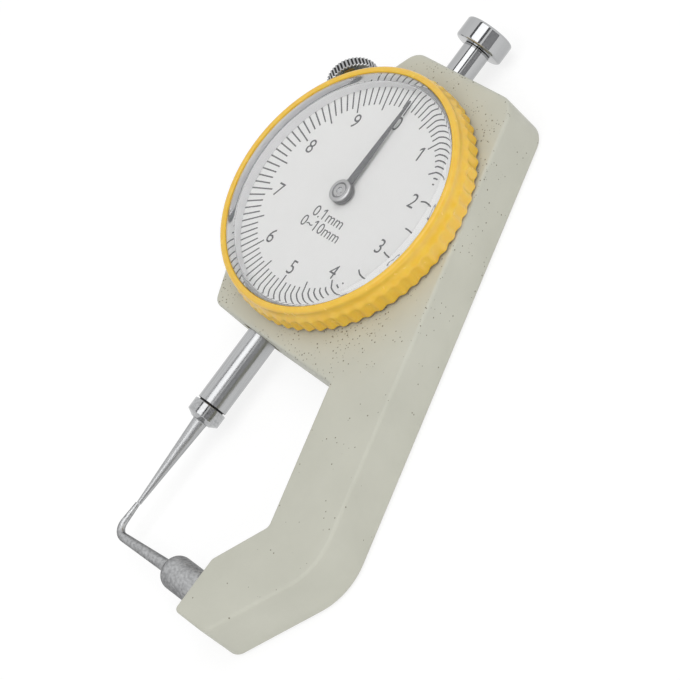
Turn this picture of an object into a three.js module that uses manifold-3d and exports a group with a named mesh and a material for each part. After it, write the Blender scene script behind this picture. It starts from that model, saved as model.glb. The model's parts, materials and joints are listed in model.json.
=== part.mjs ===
import * as THREE from "three";
import { mergeVertices } from "three/addons/utils/BufferGeometryUtils.js";
import Module from "manifold-3d";

// Dial thickness caliper for 0 to 10 mm: a C-shaped cast frame, a rack spindle and a dial.
// Millimetres. X points to the arm, Y up the spindle, Z out of the dial.
// The origin is on the flat back, below the centre of the dial.

const wasm = await Module();
wasm.setup();

const DEGREE = Math.PI / 180;
const TURN = 2 * Math.PI;

// Fits
const SEAT = 0.05; // between pieces that are pressed or screwed together
const RUNNING = 0.06; // radial, between a shaft and its bearing
const SHAKE = 0.3; // between pieces that only pass each other
const OVERRUN = 1; // how far a cut runs past the face that it opens

// Smoothness of the turned pieces
const FINE = 60;
const ROUND = 24;
const SMALL = 16;
const ARC_STEP = 15 * DEGREE;
const WELD = 1e-5; // points closer than this are one point

// Measuring train: one turn of the pointer is the whole travel of the spindle
const TRAVEL = 10;
const PINION_TEETH = 16;
const RACK_PITCH = TRAVEL / PINION_TEETH;
const PITCH_RADIUS = TRAVEL / TURN;
const PRESSURE_ANGLE = 20 * DEGREE;
const ADDENDUM = 0.17;
const DEDENDUM = 0.25;
const BACKLASH = 0.09;
const PINION_FACE = 2.4;

// Frame
const THICKNESS = 8.7;
const EDGE = 0.5;
const HEAD_TOP = 24.65;
const HEAD_LEFT = -19;
const TOP_LEFT_X = -9.6;
const UPPER_LEFT_SLANT = 28.5 * DEGREE;
const TOP_RIGHT_X = 13.74;
const BOTTOM_LEFT_X = -12.2;
const BOTTOM_LEFT_Y = -23.15;
const LOWER_LEFT_SLANT = 27 * DEGREE;
const THROAT_X = 17.6;
const THROAT_Y = -23.95;
const ARM_SLANT = 18.6 * DEGREE;
const FOOT_X = 19.6;
const FOOT_Y = -62.65;
const FOOT_WIDTH = 7.5;
const FOOT_SHOULDER = 8.95; // above the bottom of the foot, as the next two
const BEND_RISE = 16.2;
const WAIST_RISE = 17.25;
const FOOT_SHOULDER_Y = FOOT_Y + FOOT_SHOULDER;
const BEND_Y = FOOT_Y + BEND_RISE;
const WAIST_Y = FOOT_Y + WAIST_RISE;
const CORNERS = {
  topLeft: 3,
  left: 2,
  bottomLeft: 2,
  throat: 0.6,
  waist: 1.2,
  footTip: 0.8,
  heel: 2.2,
  bend: 10,
  topRight: 4,
};

// Front of the frame: register for the bezel, and the pocket for the movement
const FLOOR = 1.6;
const REGISTER_RADIUS = 18;
const REGISTER_WALL = 1.8;
const POCKET_RADIUS = REGISTER_RADIUS - REGISTER_WALL;
const REGISTER_HEIGHT = 1.4;
const RING_WIRE = 0.3;
const RING_SPREAD = 0.4;
const RING_RISE = 0.7;
const RING_OPENING = 12 * DEGREE;

// Bezel, crystal and dial
const BEZEL_GAP = 0.3;
const DIAL_Z = 10.62;
const DIAL_THICKNESS = 0.3;
const DIAL_HOLE = 1.2;
const SEAT_STEP = 1.5; // the crystal's edge stands out past the register
const CRYSTAL_RADIUS = REGISTER_RADIUS + SEAT_STEP;
const CRYSTAL_TOP = 14.4;
const CRYSTAL_WINDOW = 2.1;
const CRYSTAL_RIM = 1;
const CRYSTAL_SHOULDER = 1.7; // width of the curved edge
const CRYSTAL_DROP = 0.615; // and how far it falls
const CRYSTAL_FILLET = 0.2;
const LIP_TOP = 14.1;
const LIP_WALL = 1.25;
const LIP_RADIUS = CRYSTAL_RADIUS + LIP_WALL;
const GROOVE_Z = 12.35;
const GROOVE_WALL = 0.8;
const GROOVE_RADIUS = CRYSTAL_RADIUS + GROOVE_WALL;
const SKIRT_TOP = 12.05;
const SKIRT_WALL = 1.68;
const RIDGE_RADIUS = CRYSTAL_RADIUS + SKIRT_WALL;
const FLUTE_DEPTH = 0.38;
const FLUTES = 63;

// Spindle line
const SPINDLE_X = -3.77;
const SPINDLE_Z = 4.35;
const SPINDLE_RADIUS = 2.42;
const SPINDLE_END = -36;
const SPINDLE_TOP = 4;
const ROD_RADIUS = 2.175;
const ROD_SHOWING = 5.35;
const CAP_RADIUS = 3.92;
const CAP_HEIGHT = 3.5;
const CAP_ROUND = 0.5;
const FLAT_LENGTH = 12;
const STUD_RADIUS = 1.2;
const STUD_LENGTH = 5;
const LOWER_BUSH_WALL = 0.85;
const UPPER_BUSH_WALL = 0.85;
const BUSH_RECESS = 0.3;

// Contact point
const COLLAR_RADIUS = 2.65;
const COLLAR_HEIGHT = 2;
const COLLAR_CONE = 0.6;
const COLLAR_NOSE = 1.6;
const POINT_ROOT_RADIUS = 1.15;
const POINT_TIP_RADIUS = 0.35;
const ANVIL_RISE = 4.3; // above the bottom of the foot
const ANVIL_Y = FOOT_Y + ANVIL_RISE;
const HOOK_RISE = 4.65;
const TIP_Y = ANVIL_Y + HOOK_RISE;

// Anvil
const ANVIL_GAP = 0.04;
const ANVIL_RADIUS = 2.65;
const ANVIL_LENGTH = 9.7;
const ANVIL_DOME = 1.7;
const ANVIL_SPIGOT_RADIUS = 1.5;
const ANVIL_SPIGOT = 7;
const HOOK_ROOT_RADIUS = 1.05;
const HOOK_BEND_RADIUS = 0.65;
const HOOK_TIP_RADIUS = 0.35;
const HOOK_DROP = 0.6;
const HOOK_BEND = 1.9;
const GRUB_RADIUS = 1;
const GRUB_LENGTH = 2.2;

// Clamp screw, square to the slanting upper left face of the frame
const CLAMP_HEIGHT = 13.76;
const CLAMP_REACH = 6.3;
const CLAMP_HEAD_RADIUS = 4.1;
const CLAMP_HEAD = 1.75;
const CLAMP_NECK_RADIUS = 2.2;
const CLAMP_NECK = 1.6;
const CLAMP_SHANK_RADIUS = 1.5;
const CLAMP_KNURLS = 42;
const CLAMP_KNURL_DEPTH = 0.22;
const CLAMP_BEVEL = 0.25;
const CLAMP_OPEN = 0.25;
const PAD_RADIUS = 1.5;
const PAD_LENGTH = 2.6;
const PAD_SPIGOT_RADIUS = 0.7;
const PAD_SPIGOT = 1.2;

// Guide pin, its plate and the return spring
const PIN_Y = -4.5;
const PIN_RADIUS = 0.75;
const PIN_REACH = 6.6;
const PIN_SUNK = 1.6;
const GUIDE_OFFSET = 3;
const GUIDE_WALL = 0.8;
const GUIDE_HEIGHT = 5.4;
const GUIDE_MARGIN = 0.6;
const GUIDE_FLANGE = 3.9;
const GUIDE_FLANGE_WIDTH = 4;
const GUIDE_SCREW_RADIUS = 0.6;
const SPRING_RADIUS = 0.95;
const SPRING_WIRE = 0.17;
const SPRING_TURNS = 8;
const SPRING_STEPS = 8; // a turn
const SPRING_SIDES = 5;
const SPRING_OFFSET = 5.6;
const ANCHOR_X = -7.4;
const ANCHOR_RADIUS = 0.6;
const ANCHOR_MARGIN = 1; // to the wall of the pocket
const ANCHOR_HEIGHT = 4.2;

// Movement
const BRIDGE_Z = 8.3;
const BRIDGE_THICKNESS = 1;
const BRIDGE_LOBE = 2.4;
const BRIDGE_MARGIN = 0.6; // to the wall of the pocket
const PILLAR_RADIUS = 1.5;
const PILLAR_CIRCLE = POCKET_RADIUS - BRIDGE_LOBE - BRIDGE_MARGIN;
const PILLAR_ANGLE = 32 * DEGREE;
const SCREW_RADIUS = 0.5;
const SCREW_LENGTH = 3.2;
const SCREW_HEAD_RADIUS = 1.2;
const SCREW_HEAD = 0.8;
const SCREW_SLOT = 0.3;
const PIVOT_RADIUS = 0.4;
const ARBOR_RADIUS = 0.75;
const NOSE_RADIUS = 0.55;
const PIVOT_BUSH_RADIUS = 1.6;
const PIVOT_BUSH_LENGTH = 1.6;
const COLLET_RADIUS = 1.45;
const COLLET_HEIGHT = 0.8;
const HAIRSPRING_Z = 7.15;
const HAIRSPRING_HEIGHT = 0.45;
const HAIRSPRING_THICKNESS = 0.16;
const HAIRSPRING_TURNS = 4;
const HAIRSPRING_STEPS = 16; // a turn
const HAIRSPRING_OUTER = 5.6;
const HAIRSPRING_ANGLE = -40 * DEGREE;
const HAIRSPRING_STUD_RADIUS = 0.55;

// Pointer
const HUB_RADIUS = 1.85;
const HUB_BASE = 0.3;
const HUB_TOP = 1.55;
const HUB_GROOVE = 0.12;
const HAND_Z = 0.65;
const HAND_THICKNESS = 0.25;
const HAND_CLEARANCE = 2.7; // from the tip to the crystal's edge
const HAND_LENGTH = CRYSTAL_RADIUS - HAND_CLEARANCE;
const HAND_ROOT_WIDTH = 1.25;
const HAND_TIP_WIDTH = 0.3;

const PAINT = { color: 0xc3c2b2, roughness: 0.55, metalness: 0 };
const YELLOW = { color: 0xe9be50, roughness: 0.3, metalness: 0 };
const CHROME = { color: 0xd8d9db, roughness: 0.12, metalness: 1 };
const STEEL = { color: 0xa9abad, roughness: 0.3, metalness: 1 };
const SATIN = { color: 0x8f9193, roughness: 0.42, metalness: 1 };
const BRASS = { color: 0xc2a35a, roughness: 0.3, metalness: 1 };
const BLUED = { color: 0x3c4658, roughness: 0.3, metalness: 1 };
const CLEAR = { color: 0xf4f8fa, roughness: 0.05, metalness: 0, transparent: true, opacity: 0.35 };
const WHITE = { color: 0xe4e4e2, roughness: 0.5, metalness: 0 };
const INK = { color: 0x55565a, roughness: 0.4, metalness: 0.5 };
const NYLON = { color: 0xe6e2d4, roughness: 0.6, metalness: 0 };

const caliper = new THREE.Group();
caliper.name = "thickness_caliper";

// Welds a geometry into one closed index, drops the empty triangles and turns its faces outward.
function weld(geometry) {
  const bare = geometry.clone();
  bare.deleteAttribute("normal");
  bare.deleteAttribute("uv");
  const merged = mergeVertices(bare, WELD);
  const place = merged.attributes.position.array;
  const from = merged.index.array;
  const kept = [];
  let volume = 0;
  for (let i = 0; i < from.length; i += 3) {
    const [a, b, c] = [from[i], from[i + 1], from[i + 2]];
    if (a === b || b === c || c === a) continue;
    kept.push(a, b, c);
    const [p, q, r] = [a, b, c].map((k) => new THREE.Vector3().fromArray(place, 3 * k));
    volume += p.dot(q.cross(r));
  }
  if (volume < 0) kept.reverse();
  merged.setIndex(kept);
  return merged;
}

function solid(geometry) {
  const welded = weld(geometry);
  const vertProperties = new Float32Array(welded.attributes.position.array);
  const triVerts = new Uint32Array(welded.index.array);
  return new wasm.Manifold(new wasm.Mesh({ numProp: 3, vertProperties, triVerts }));
}

function geometryOf(body) {
  const mesh = body.getMesh();
  const geometry = new THREE.BufferGeometry();
  geometry.setAttribute("position", new THREE.BufferAttribute(mesh.vertProperties, mesh.numProp));
  geometry.setIndex(new THREE.BufferAttribute(mesh.triVerts, 1));
  return geometry;
}

function join(...geometries) {
  return geometryOf(geometries.map(solid).reduce((sum, next) => sum.add(next)));
}

function cut(geometry, ...cutters) {
  return geometryOf(cutters.map(solid).reduce((rest, cutter) => rest.subtract(cutter), solid(geometry)));
}

function add(name, geometry, finish) {
  const shape = weld(geometry);
  shape.computeVertexNormals();
  const mesh = new THREE.Mesh(shape, new THREE.MeshStandardMaterial(finish));
  mesh.name = name;
  caliper.add(mesh);
  return mesh;
}

// Revolves [radius, height] points about Z. The points run round the section and close on themselves
// or start and end on the axis.
function turned(section, segments = ROUND) {
  const points = section.map(([radius, height]) => new THREE.Vector2(radius, height));
  const ring = section[0][0] > 0;
  if (ring) points.push(points[0].clone());
  return new THREE.LatheGeometry(points, segments).rotateX(Math.PI / 2);
}

function rod(radius, low, high, segments = ROUND) {
  return turned([[0, low], [radius, low], [radius, high], [0, high]], segments);
}

function tube(inner, outer, low, high, segments = ROUND) {
  return turned([[inner, low], [outer, low], [outer, high], [inner, high]], segments);
}

function block(lowX, highX, lowY, highY, lowZ, highZ) {
  const box = new THREE.BoxGeometry(highX - lowX, highY - lowY, highZ - lowZ);
  return box.translate((lowX + highX) / 2, (lowY + highY) / 2, (lowZ + highZ) / 2);
}

function prism(points, low, high, holes = []) {
  const shape = new THREE.Shape(points);
  shape.holes = holes.map((hole) => new THREE.Path(hole));
  const options = { depth: high - low, bevelEnabled: false };
  return new THREE.ExtrudeGeometry(shape, options).translate(0, 0, low);
}

function circle(radius, segments, centre = new THREE.Vector2()) {
  const points = [];
  for (let i = 0; i < segments; i += 1) {
    const angle = (TURN * i) / segments;
    points.push(new THREE.Vector2(radius * Math.cos(angle), radius * Math.sin(angle)).add(centre));
  }
  return points;
}

// Stands a geometry that was turned about Z along the spindle line, with its Z up the spindle.
function alongSpindle(geometry) {
  return geometry.rotateX(-Math.PI / 2).translate(SPINDLE_X, 0, SPINDLE_Z);
}

// Rounds the corners of a polygon given anticlockwise as [x, y, radius].
function roundedOutline(corners) {
  const points = [];
  corners.forEach(([x, y, radius], i) => {
    const [beforeX, beforeY] = corners[(i + corners.length - 1) % corners.length];
    const [afterX, afterY] = corners[(i + 1) % corners.length];
    const corner = new THREE.Vector2(x, y);
    const inward = new THREE.Vector2(beforeX, beforeY).sub(corner).normalize();
    const outward = new THREE.Vector2(afterX, afterY).sub(corner).normalize();
    const half = Math.acos(inward.dot(outward)) / 2;
    const bisector = inward.clone().add(outward).normalize();
    const centre = corner.clone().addScaledVector(bisector, radius / Math.sin(half));
    const start = corner.clone().addScaledVector(inward, radius / Math.tan(half)).sub(centre);
    const turn = Math.sign(outward.cross(inward)) * (Math.PI - 2 * half);
    const steps = Math.max(2, Math.ceil(Math.abs(turn) / ARC_STEP));
    for (let k = 0; k <= steps; k += 1) {
      points.push(start.clone().rotateAround(new THREE.Vector2(), (turn * k) / steps).add(centre));
    }
  });
  return points;
}

// Frame outline: a head behind the dial, a slanting arm and a foot that carries the anvil
function frameOutline() {
  const upperLeftY = HEAD_TOP - (TOP_LEFT_X - HEAD_LEFT) / Math.tan(UPPER_LEFT_SLANT);
  const lowerLeftY = BOTTOM_LEFT_Y + (BOTTOM_LEFT_X - HEAD_LEFT) / Math.tan(LOWER_LEFT_SLANT);
  const waistX = THROAT_X + (THROAT_Y - WAIST_Y) * Math.tan(ARM_SLANT);
  const bendX = TOP_RIGHT_X + (HEAD_TOP - BEND_Y) * Math.tan(ARM_SLANT);
  return roundedOutline([
    [TOP_LEFT_X, HEAD_TOP, CORNERS.topLeft],
    [HEAD_LEFT, upperLeftY, CORNERS.left],
    [HEAD_LEFT, lowerLeftY, CORNERS.left],
    [BOTTOM_LEFT_X, BOTTOM_LEFT_Y, CORNERS.bottomLeft],
    [THROAT_X, THROAT_Y, CORNERS.throat],
    [waistX, WAIST_Y, CORNERS.waist],
    [FOOT_X, FOOT_SHOULDER_Y, CORNERS.waist],
    [FOOT_X, FOOT_Y, CORNERS.footTip],
    [FOOT_X + FOOT_WIDTH, FOOT_Y, CORNERS.heel],
    [bendX, BEND_Y, CORNERS.bend],
    [TOP_RIGHT_X, HEAD_TOP, CORNERS.topRight],
  ]);
}

// Where the spindle line leaves the head and the pocket
const HEAD_BOTTOM = BOTTOM_LEFT_Y
  + ((THROAT_Y - BOTTOM_LEFT_Y) * (SPINDLE_X - BOTTOM_LEFT_X)) / (THROAT_X - BOTTOM_LEFT_X);
const POCKET_HALF = Math.sqrt(POCKET_RADIUS ** 2 - SPINDLE_X ** 2);
const LOWER_BUSH_RADIUS = SPINDLE_RADIUS + RUNNING + LOWER_BUSH_WALL;
const UPPER_BUSH_RADIUS = ROD_RADIUS + RUNNING + UPPER_BUSH_WALL;

// Clamp line: its own Y runs outward, square to the slanting face, from a zero on that face
const CLAMP_X = TOP_LEFT_X - (HEAD_TOP - CLAMP_HEIGHT) * Math.tan(UPPER_LEFT_SLANT);
const CLAMP_TURN = Math.PI / 2 - UPPER_LEFT_SLANT;
const CLAMP_OUT = new THREE.Vector2(-Math.cos(UPPER_LEFT_SLANT), Math.sin(UPPER_LEFT_SLANT));
const CLAMP_DEPTH = (SPINDLE_X - ROD_RADIUS - CLAMP_OPEN - CLAMP_X) / -CLAMP_OUT.x;

function alongClamp(geometry) {
  return geometry.rotateX(-Math.PI / 2).rotateZ(CLAMP_TURN).translate(CLAMP_X, CLAMP_HEIGHT, SPINDLE_Z);
}

// The anvil's own Z runs into the foot from the foot's left face
function alongAnvil(geometry) {
  return geometry.rotateY(Math.PI / 2).translate(FOOT_X, ANVIL_Y, SPINDLE_Z);
}

const REGISTER_TOP = THICKNESS + REGISTER_HEIGHT;
const RING_LOW = THICKNESS + RING_RISE;
const RING_SLOT = RING_WIRE / 2;

function makeFrame() {
  const shape = new THREE.Shape(frameOutline());
  const casting = new THREE.ExtrudeGeometry(shape, {
    depth: THICKNESS - 2 * EDGE,
    bevelEnabled: true,
    bevelThickness: EDGE,
    bevelSize: EDGE,
    bevelOffset: -EDGE,
    bevelSegments: 1,
  }).translate(0, 0, EDGE);
  const ringBottom = REGISTER_RADIUS - RING_SPREAD - RING_SLOT;
  const register = turned([
    [0, FLOOR],
    [REGISTER_RADIUS - OVERRUN, FLOOR],
    [REGISTER_RADIUS - OVERRUN, THICKNESS - EDGE],
    [REGISTER_RADIUS, THICKNESS - EDGE],
    [REGISTER_RADIUS, RING_LOW - RING_SLOT],
    [ringBottom, RING_LOW - RING_SLOT],
    [ringBottom, RING_LOW + RING_WIRE + RING_SLOT],
    [REGISTER_RADIUS, RING_LOW + RING_WIRE + RING_SLOT],
    [REGISTER_RADIUS, REGISTER_TOP],
    [0, REGISTER_TOP],
  ], FINE);
  const pocket = rod(POCKET_RADIUS, FLOOR, REGISTER_TOP + OVERRUN, FINE);
  const lowerBore = alongSpindle(rod(LOWER_BUSH_RADIUS + SEAT, THROAT_Y - OVERRUN, -POCKET_HALF + OVERRUN));
  const upperBore = alongSpindle(rod(UPPER_BUSH_RADIUS + SEAT, POCKET_HALF - OVERRUN, HEAD_TOP + OVERRUN));
  const clampBore = alongClamp(rod(CLAMP_SHANK_RADIUS + RUNNING, -CLAMP_DEPTH, OVERRUN, SMALL));
  const anvilBore = alongAnvil(rod(ANVIL_SPIGOT_RADIUS + SEAT, -OVERRUN, ANVIL_SPIGOT + SEAT));
  const grubBore = rod(GRUB_RADIUS + SEAT, 0, ANVIL_Y - FOOT_Y + OVERRUN, SMALL)
    .rotateX(-Math.PI / 2)
    .translate(FOOT_X + ANVIL_SPIGOT / 2, FOOT_Y - OVERRUN, SPINDLE_Z);
  const pivotSeat = rod(PIVOT_BUSH_RADIUS + SEAT, FLOOR - PIVOT_BUSH_LENGTH / 2 - SEAT, FLOOR + OVERRUN, SMALL);
  const body = join(casting, register);
  return cut(body, pocket, lowerBore, upperBore, clampBore, anvilBore, grubBore, pivotSeat);
}

add("frame", makeFrame(), PAINT);

// Bushes that guide the spindle in the head
const lowerBush = tube(SPINDLE_RADIUS + RUNNING, LOWER_BUSH_RADIUS, HEAD_BOTTOM + BUSH_RECESS, -POCKET_HALF);
add("lower_bush", alongSpindle(lowerBush), BRASS);
const upperBush = tube(ROD_RADIUS + RUNNING, UPPER_BUSH_RADIUS, POCKET_HALF, HEAD_TOP - BUSH_RECESS);
add("upper_bush", alongSpindle(upperBush), BRASS);

// Anvil: a thick root with a domed shoulder and a tapering hook whose tip faces the contact point
function makeAnvil() {
  const dome = [];
  const domeSteps = 5;
  for (let i = 0; i <= domeSteps; i += 1) {
    const angle = (Math.PI / 2 * i) / domeSteps;
    const radius = ANVIL_RADIUS - ANVIL_DOME + ANVIL_DOME * Math.sin(angle);
    dome.push([radius, -ANVIL_LENGTH + ANVIL_DOME - ANVIL_DOME * Math.cos(angle)]);
  }
  const root = alongAnvil(turned([
    [0, -ANVIL_LENGTH],
    ...dome,
    [ANVIL_RADIUS, -SEAT],
    [ANVIL_SPIGOT_RADIUS, -SEAT],
    [ANVIL_SPIGOT_RADIUS, ANVIL_SPIGOT],
    [0, ANVIL_SPIGOT],
  ]));
  return join(root, makeHook());
}

function midway(from, to) {
  return from.clone().add(to).divideScalar(2);
}

// The hook is a round rod swept along a straight run, a bend and a short rise
function makeHook() {
  const start = new THREE.Vector3(FOOT_X - ANVIL_LENGTH + ANVIL_DOME, ANVIL_Y, SPINDLE_Z);
  const low = ANVIL_Y - HOOK_DROP;
  const beforeBend = new THREE.Vector3(SPINDLE_X + HOOK_BEND, low, SPINDLE_Z);
  const afterBend = new THREE.Vector3(SPINDLE_X, low + HOOK_BEND, SPINDLE_Z);
  const end = new THREE.Vector3(SPINDLE_X, TIP_Y - ANVIL_GAP, SPINDLE_Z);
  const route = [start, midway(start, beforeBend), beforeBend];
  const bendSteps = 5;
  for (let i = 1; i <= bendSteps; i += 1) {
    const angle = (Math.PI / 2 * i) / bendSteps;
    const across = HOOK_BEND * (1 - Math.sin(angle));
    const up = HOOK_BEND * (1 - Math.cos(angle));
    route.push(new THREE.Vector3(SPINDLE_X + across, low + up, SPINDLE_Z));
  }
  route.push(midway(afterBend, end), end);
  const bendStart = route.indexOf(beforeBend);
  const last = route.length - 1;
  const radii = route.map((point, i) => (i < bendStart
    ? THREE.MathUtils.lerp(HOOK_ROOT_RADIUS, HOOK_BEND_RADIUS, i / bendStart)
    : THREE.MathUtils.lerp(HOOK_BEND_RADIUS, HOOK_TIP_RADIUS, (i - bendStart) / (last - bendStart))));
  return swept(route, radii, SMALL);
}

// Round rod through a planar route in the plane of the spindle, with its own radius at each point
function swept(route, radii, sides) {
  const places = [];
  const normal = new THREE.Vector3(0, 0, 1);
  route.forEach((point, i) => {
    const before = route[Math.max(0, i - 1)];
    const after = route[Math.min(route.length - 1, i + 1)];
    const along = after.clone().sub(before).normalize();
    const side = along.clone().cross(normal);
    for (let k = 0; k < sides; k += 1) {
      const angle = (TURN * k) / sides;
      const spot = point.clone().addScaledVector(side, radii[i] * Math.cos(angle));
      places.push(spot.addScaledVector(normal, radii[i] * Math.sin(angle)));
    }
  });
  return lofted(places, sides);
}

// Skin over rings of equal count, closed by a fan at each end
function lofted(places, sides) {
  const rings = places.length / sides;
  const centre = (first) => places.slice(first, first + sides)
    .reduce((sum, place) => sum.add(place), new THREE.Vector3())
    .divideScalar(sides);
  const all = [...places, centre(0), centre(places.length - sides)];
  const index = [];
  for (let ring = 0; ring < rings - 1; ring += 1) {
    for (let k = 0; k < sides; k += 1) {
      const a = ring * sides + k;
      const b = ring * sides + ((k + 1) % sides);
      index.push(a, b, b + sides, a, b + sides, a + sides);
    }
  }
  for (let k = 0; k < sides; k += 1) {
    const next = (k + 1) % sides;
    const last = places.length - sides;
    index.push(places.length, next, k, places.length + 1, last + k, last + next);
  }
  const geometry = new THREE.BufferGeometry().setFromPoints(all);
  geometry.setIndex(index);
  return geometry;
}

add("anvil", makeAnvil(), SATIN);
const grub = rod(GRUB_RADIUS, 0, GRUB_LENGTH, SMALL).rotateX(-Math.PI / 2);
const grubY = ANVIL_Y - ANVIL_SPIGOT_RADIUS - SEAT - GRUB_LENGTH;
add("anvil_set_screw", grub.translate(FOOT_X + ANVIL_SPIGOT / 2, grubY, SPINDLE_Z), STEEL);

// Spindle with the rack cut into its right side and a flat for the clamp pad on its left
function rackComb() {
  const pitchLine = -PITCH_RADIUS - SPINDLE_X;
  const tip = pitchLine + ADDENDUM;
  const root = pitchLine - DEDENDUM;
  const slope = Math.tan(PRESSURE_ANGLE);
  const halfSpace = RACK_PITCH / 4 + BACKLASH / 4;
  const spacesAbove = 2;
  const spacesBelow = Math.ceil((TRAVEL + 2 * RACK_PITCH) / RACK_PITCH);
  const points = [];
  for (let i = spacesAbove; i >= -spacesBelow; i -= 1) {
    const middle = i * RACK_PITCH;
    const wide = halfSpace + ADDENDUM * slope;
    const narrow = halfSpace - DEDENDUM * slope;
    points.push(new THREE.Vector2(tip, middle + wide), new THREE.Vector2(root, middle + narrow));
    points.push(new THREE.Vector2(root, middle - narrow), new THREE.Vector2(tip, middle - wide));
  }
  const clear = SPINDLE_RADIUS + OVERRUN;
  points.push(new THREE.Vector2(clear, points.at(-1).y), new THREE.Vector2(clear, points[0].y));
  return prism(points, -SPINDLE_RADIUS, SPINDLE_RADIUS).translate(SPINDLE_X, 0, SPINDLE_Z);
}

function makeSpindle() {
  const bar = turned([
    [0, SPINDLE_END + STUD_LENGTH],
    [STUD_RADIUS + SEAT, SPINDLE_END + STUD_LENGTH],
    [STUD_RADIUS + SEAT, SPINDLE_END],
    [SPINDLE_RADIUS, SPINDLE_END],
    [SPINDLE_RADIUS, SPINDLE_TOP],
    [STUD_RADIUS + SEAT, SPINDLE_TOP],
    [STUD_RADIUS + SEAT, SPINDLE_TOP - STUD_LENGTH],
    [0, SPINDLE_TOP - STUD_LENGTH],
  ]);
  const flatX = SPINDLE_X - ROD_RADIUS;
  const side = SPINDLE_RADIUS + OVERRUN;
  const flat = block(flatX - side, flatX, SPINDLE_TOP - FLAT_LENGTH, SPINDLE_TOP + OVERRUN,
    SPINDLE_Z - side, SPINDLE_Z + side);
  const pinHole = rod(PIN_RADIUS + SEAT, -SPINDLE_RADIUS - OVERRUN, -ROD_RADIUS + PIN_SUNK, SMALL)
    .rotateY(Math.PI / 2)
    .translate(SPINDLE_X, PIN_Y, SPINDLE_Z);
  return cut(alongSpindle(bar), rackComb(), flat, pinHole);
}

add("spindle", makeSpindle(), CHROME);

// Lift rod, screwed into the top of the spindle and into the thumb cap
const CAP_LOW = HEAD_TOP + ROD_SHOWING;
add("lift_rod", alongSpindle(turned([
  [0, SPINDLE_TOP - STUD_LENGTH + SEAT],
  [STUD_RADIUS, SPINDLE_TOP - STUD_LENGTH + SEAT],
  [STUD_RADIUS, SPINDLE_TOP + SEAT],
  [ROD_RADIUS, SPINDLE_TOP + SEAT],
  [ROD_RADIUS, CAP_LOW - SEAT],
  [STUD_RADIUS, CAP_LOW - SEAT],
  [STUD_RADIUS, CAP_LOW + CAP_HEIGHT / 2],
  [0, CAP_LOW + CAP_HEIGHT / 2],
])), CHROME);

// Rounds a rim in two steps: the upper corner is 1, the lower one is -1
function roundEdge(radius, height, round, corner) {
  const arcShares = [0, 0.5, 1];
  return arcShares.map((share) => {
    const angle = (Math.PI / 2) * (corner > 0 ? share : share - 1);
    return [radius - round + round * Math.cos(angle), height + corner * -round + round * Math.sin(angle)];
  });
}

add("thumb_cap", alongSpindle(turned([
  [0, CAP_LOW + CAP_HEIGHT / 2 + SEAT],
  [STUD_RADIUS + SEAT, CAP_LOW + CAP_HEIGHT / 2 + SEAT],
  [STUD_RADIUS + SEAT, CAP_LOW],
  ...roundEdge(CAP_RADIUS, CAP_LOW, CAP_ROUND, -1),
  ...roundEdge(CAP_RADIUS, CAP_LOW + CAP_HEIGHT, CAP_ROUND, 1),
  [0, CAP_LOW + CAP_HEIGHT],
])), CHROME);

// Contact point, screwed into the bottom of the spindle
const COLLAR_TOP = SPINDLE_END - SEAT;
const COLLAR_LOW = COLLAR_TOP - COLLAR_HEIGHT;
add("contact_point", alongSpindle(turned([
  [0, TIP_Y],
  [POINT_TIP_RADIUS, TIP_Y],
  [POINT_ROOT_RADIUS, COLLAR_LOW - COLLAR_CONE],
  [COLLAR_NOSE, COLLAR_LOW - COLLAR_CONE],
  [COLLAR_RADIUS, COLLAR_LOW],
  [COLLAR_RADIUS, COLLAR_TOP],
  [STUD_RADIUS, COLLAR_TOP],
  [STUD_RADIUS, SPINDLE_END + STUD_LENGTH - SEAT],
  [0, SPINDLE_END + STUD_LENGTH - SEAT],
])), STEEL);

// Guide pin: keeps the spindle from turning and holds the upper end of the return spring
const PIN_END = SPINDLE_X - PIN_REACH;
const PIN_START = SPINDLE_X - ROD_RADIUS + PIN_SUNK - SEAT;
const pin = rod(PIN_RADIUS, PIN_END, PIN_START, SMALL).rotateY(Math.PI / 2);
add("guide_pin", pin.translate(0, PIN_Y, SPINDLE_Z), STEEL);

// Guide plate: an angle on the floor of the pocket with a slot for the pin
const GUIDE_X = SPINDLE_X - GUIDE_OFFSET;
const GUIDE_LOW = PIN_Y - PIN_RADIUS - RUNNING;
const GUIDE_HIGH = PIN_Y + TRAVEL + PIN_RADIUS + RUNNING;
const FLANGE_Y = GUIDE_HIGH + GUIDE_MARGIN - GUIDE_FLANGE_WIDTH / 2;
const FLANGE_X = GUIDE_X - GUIDE_WALL / 2 - GUIDE_FLANGE;
const GUIDE_SCREW_X = FLANGE_X + GUIDE_FLANGE_WIDTH / 2;

function makeGuidePlate() {
  const base = FLOOR + SEAT;
  const wall = block(GUIDE_X - GUIDE_WALL, GUIDE_X, GUIDE_LOW - GUIDE_MARGIN, GUIDE_HIGH + GUIDE_MARGIN,
    base, base + GUIDE_HEIGHT);
  const half = GUIDE_FLANGE_WIDTH / 2;
  const flange = block(FLANGE_X, GUIDE_X, FLANGE_Y - half, FLANGE_Y + half, base, base + GUIDE_WALL);
  const slotHalf = PIN_RADIUS + RUNNING;
  const slot = block(GUIDE_X - GUIDE_WALL - OVERRUN, GUIDE_X + OVERRUN, GUIDE_LOW, GUIDE_HIGH,
    SPINDLE_Z - slotHalf, SPINDLE_Z + slotHalf);
  const hole = rod(GUIDE_SCREW_RADIUS + SEAT, FLOOR - OVERRUN, base + GUIDE_WALL + OVERRUN, SMALL)
    .translate(GUIDE_SCREW_X, FLANGE_Y, 0);
  return cut(join(wall, flange), slot, hole);
}

add("guide_plate", makeGuidePlate(), BRASS);

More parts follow.
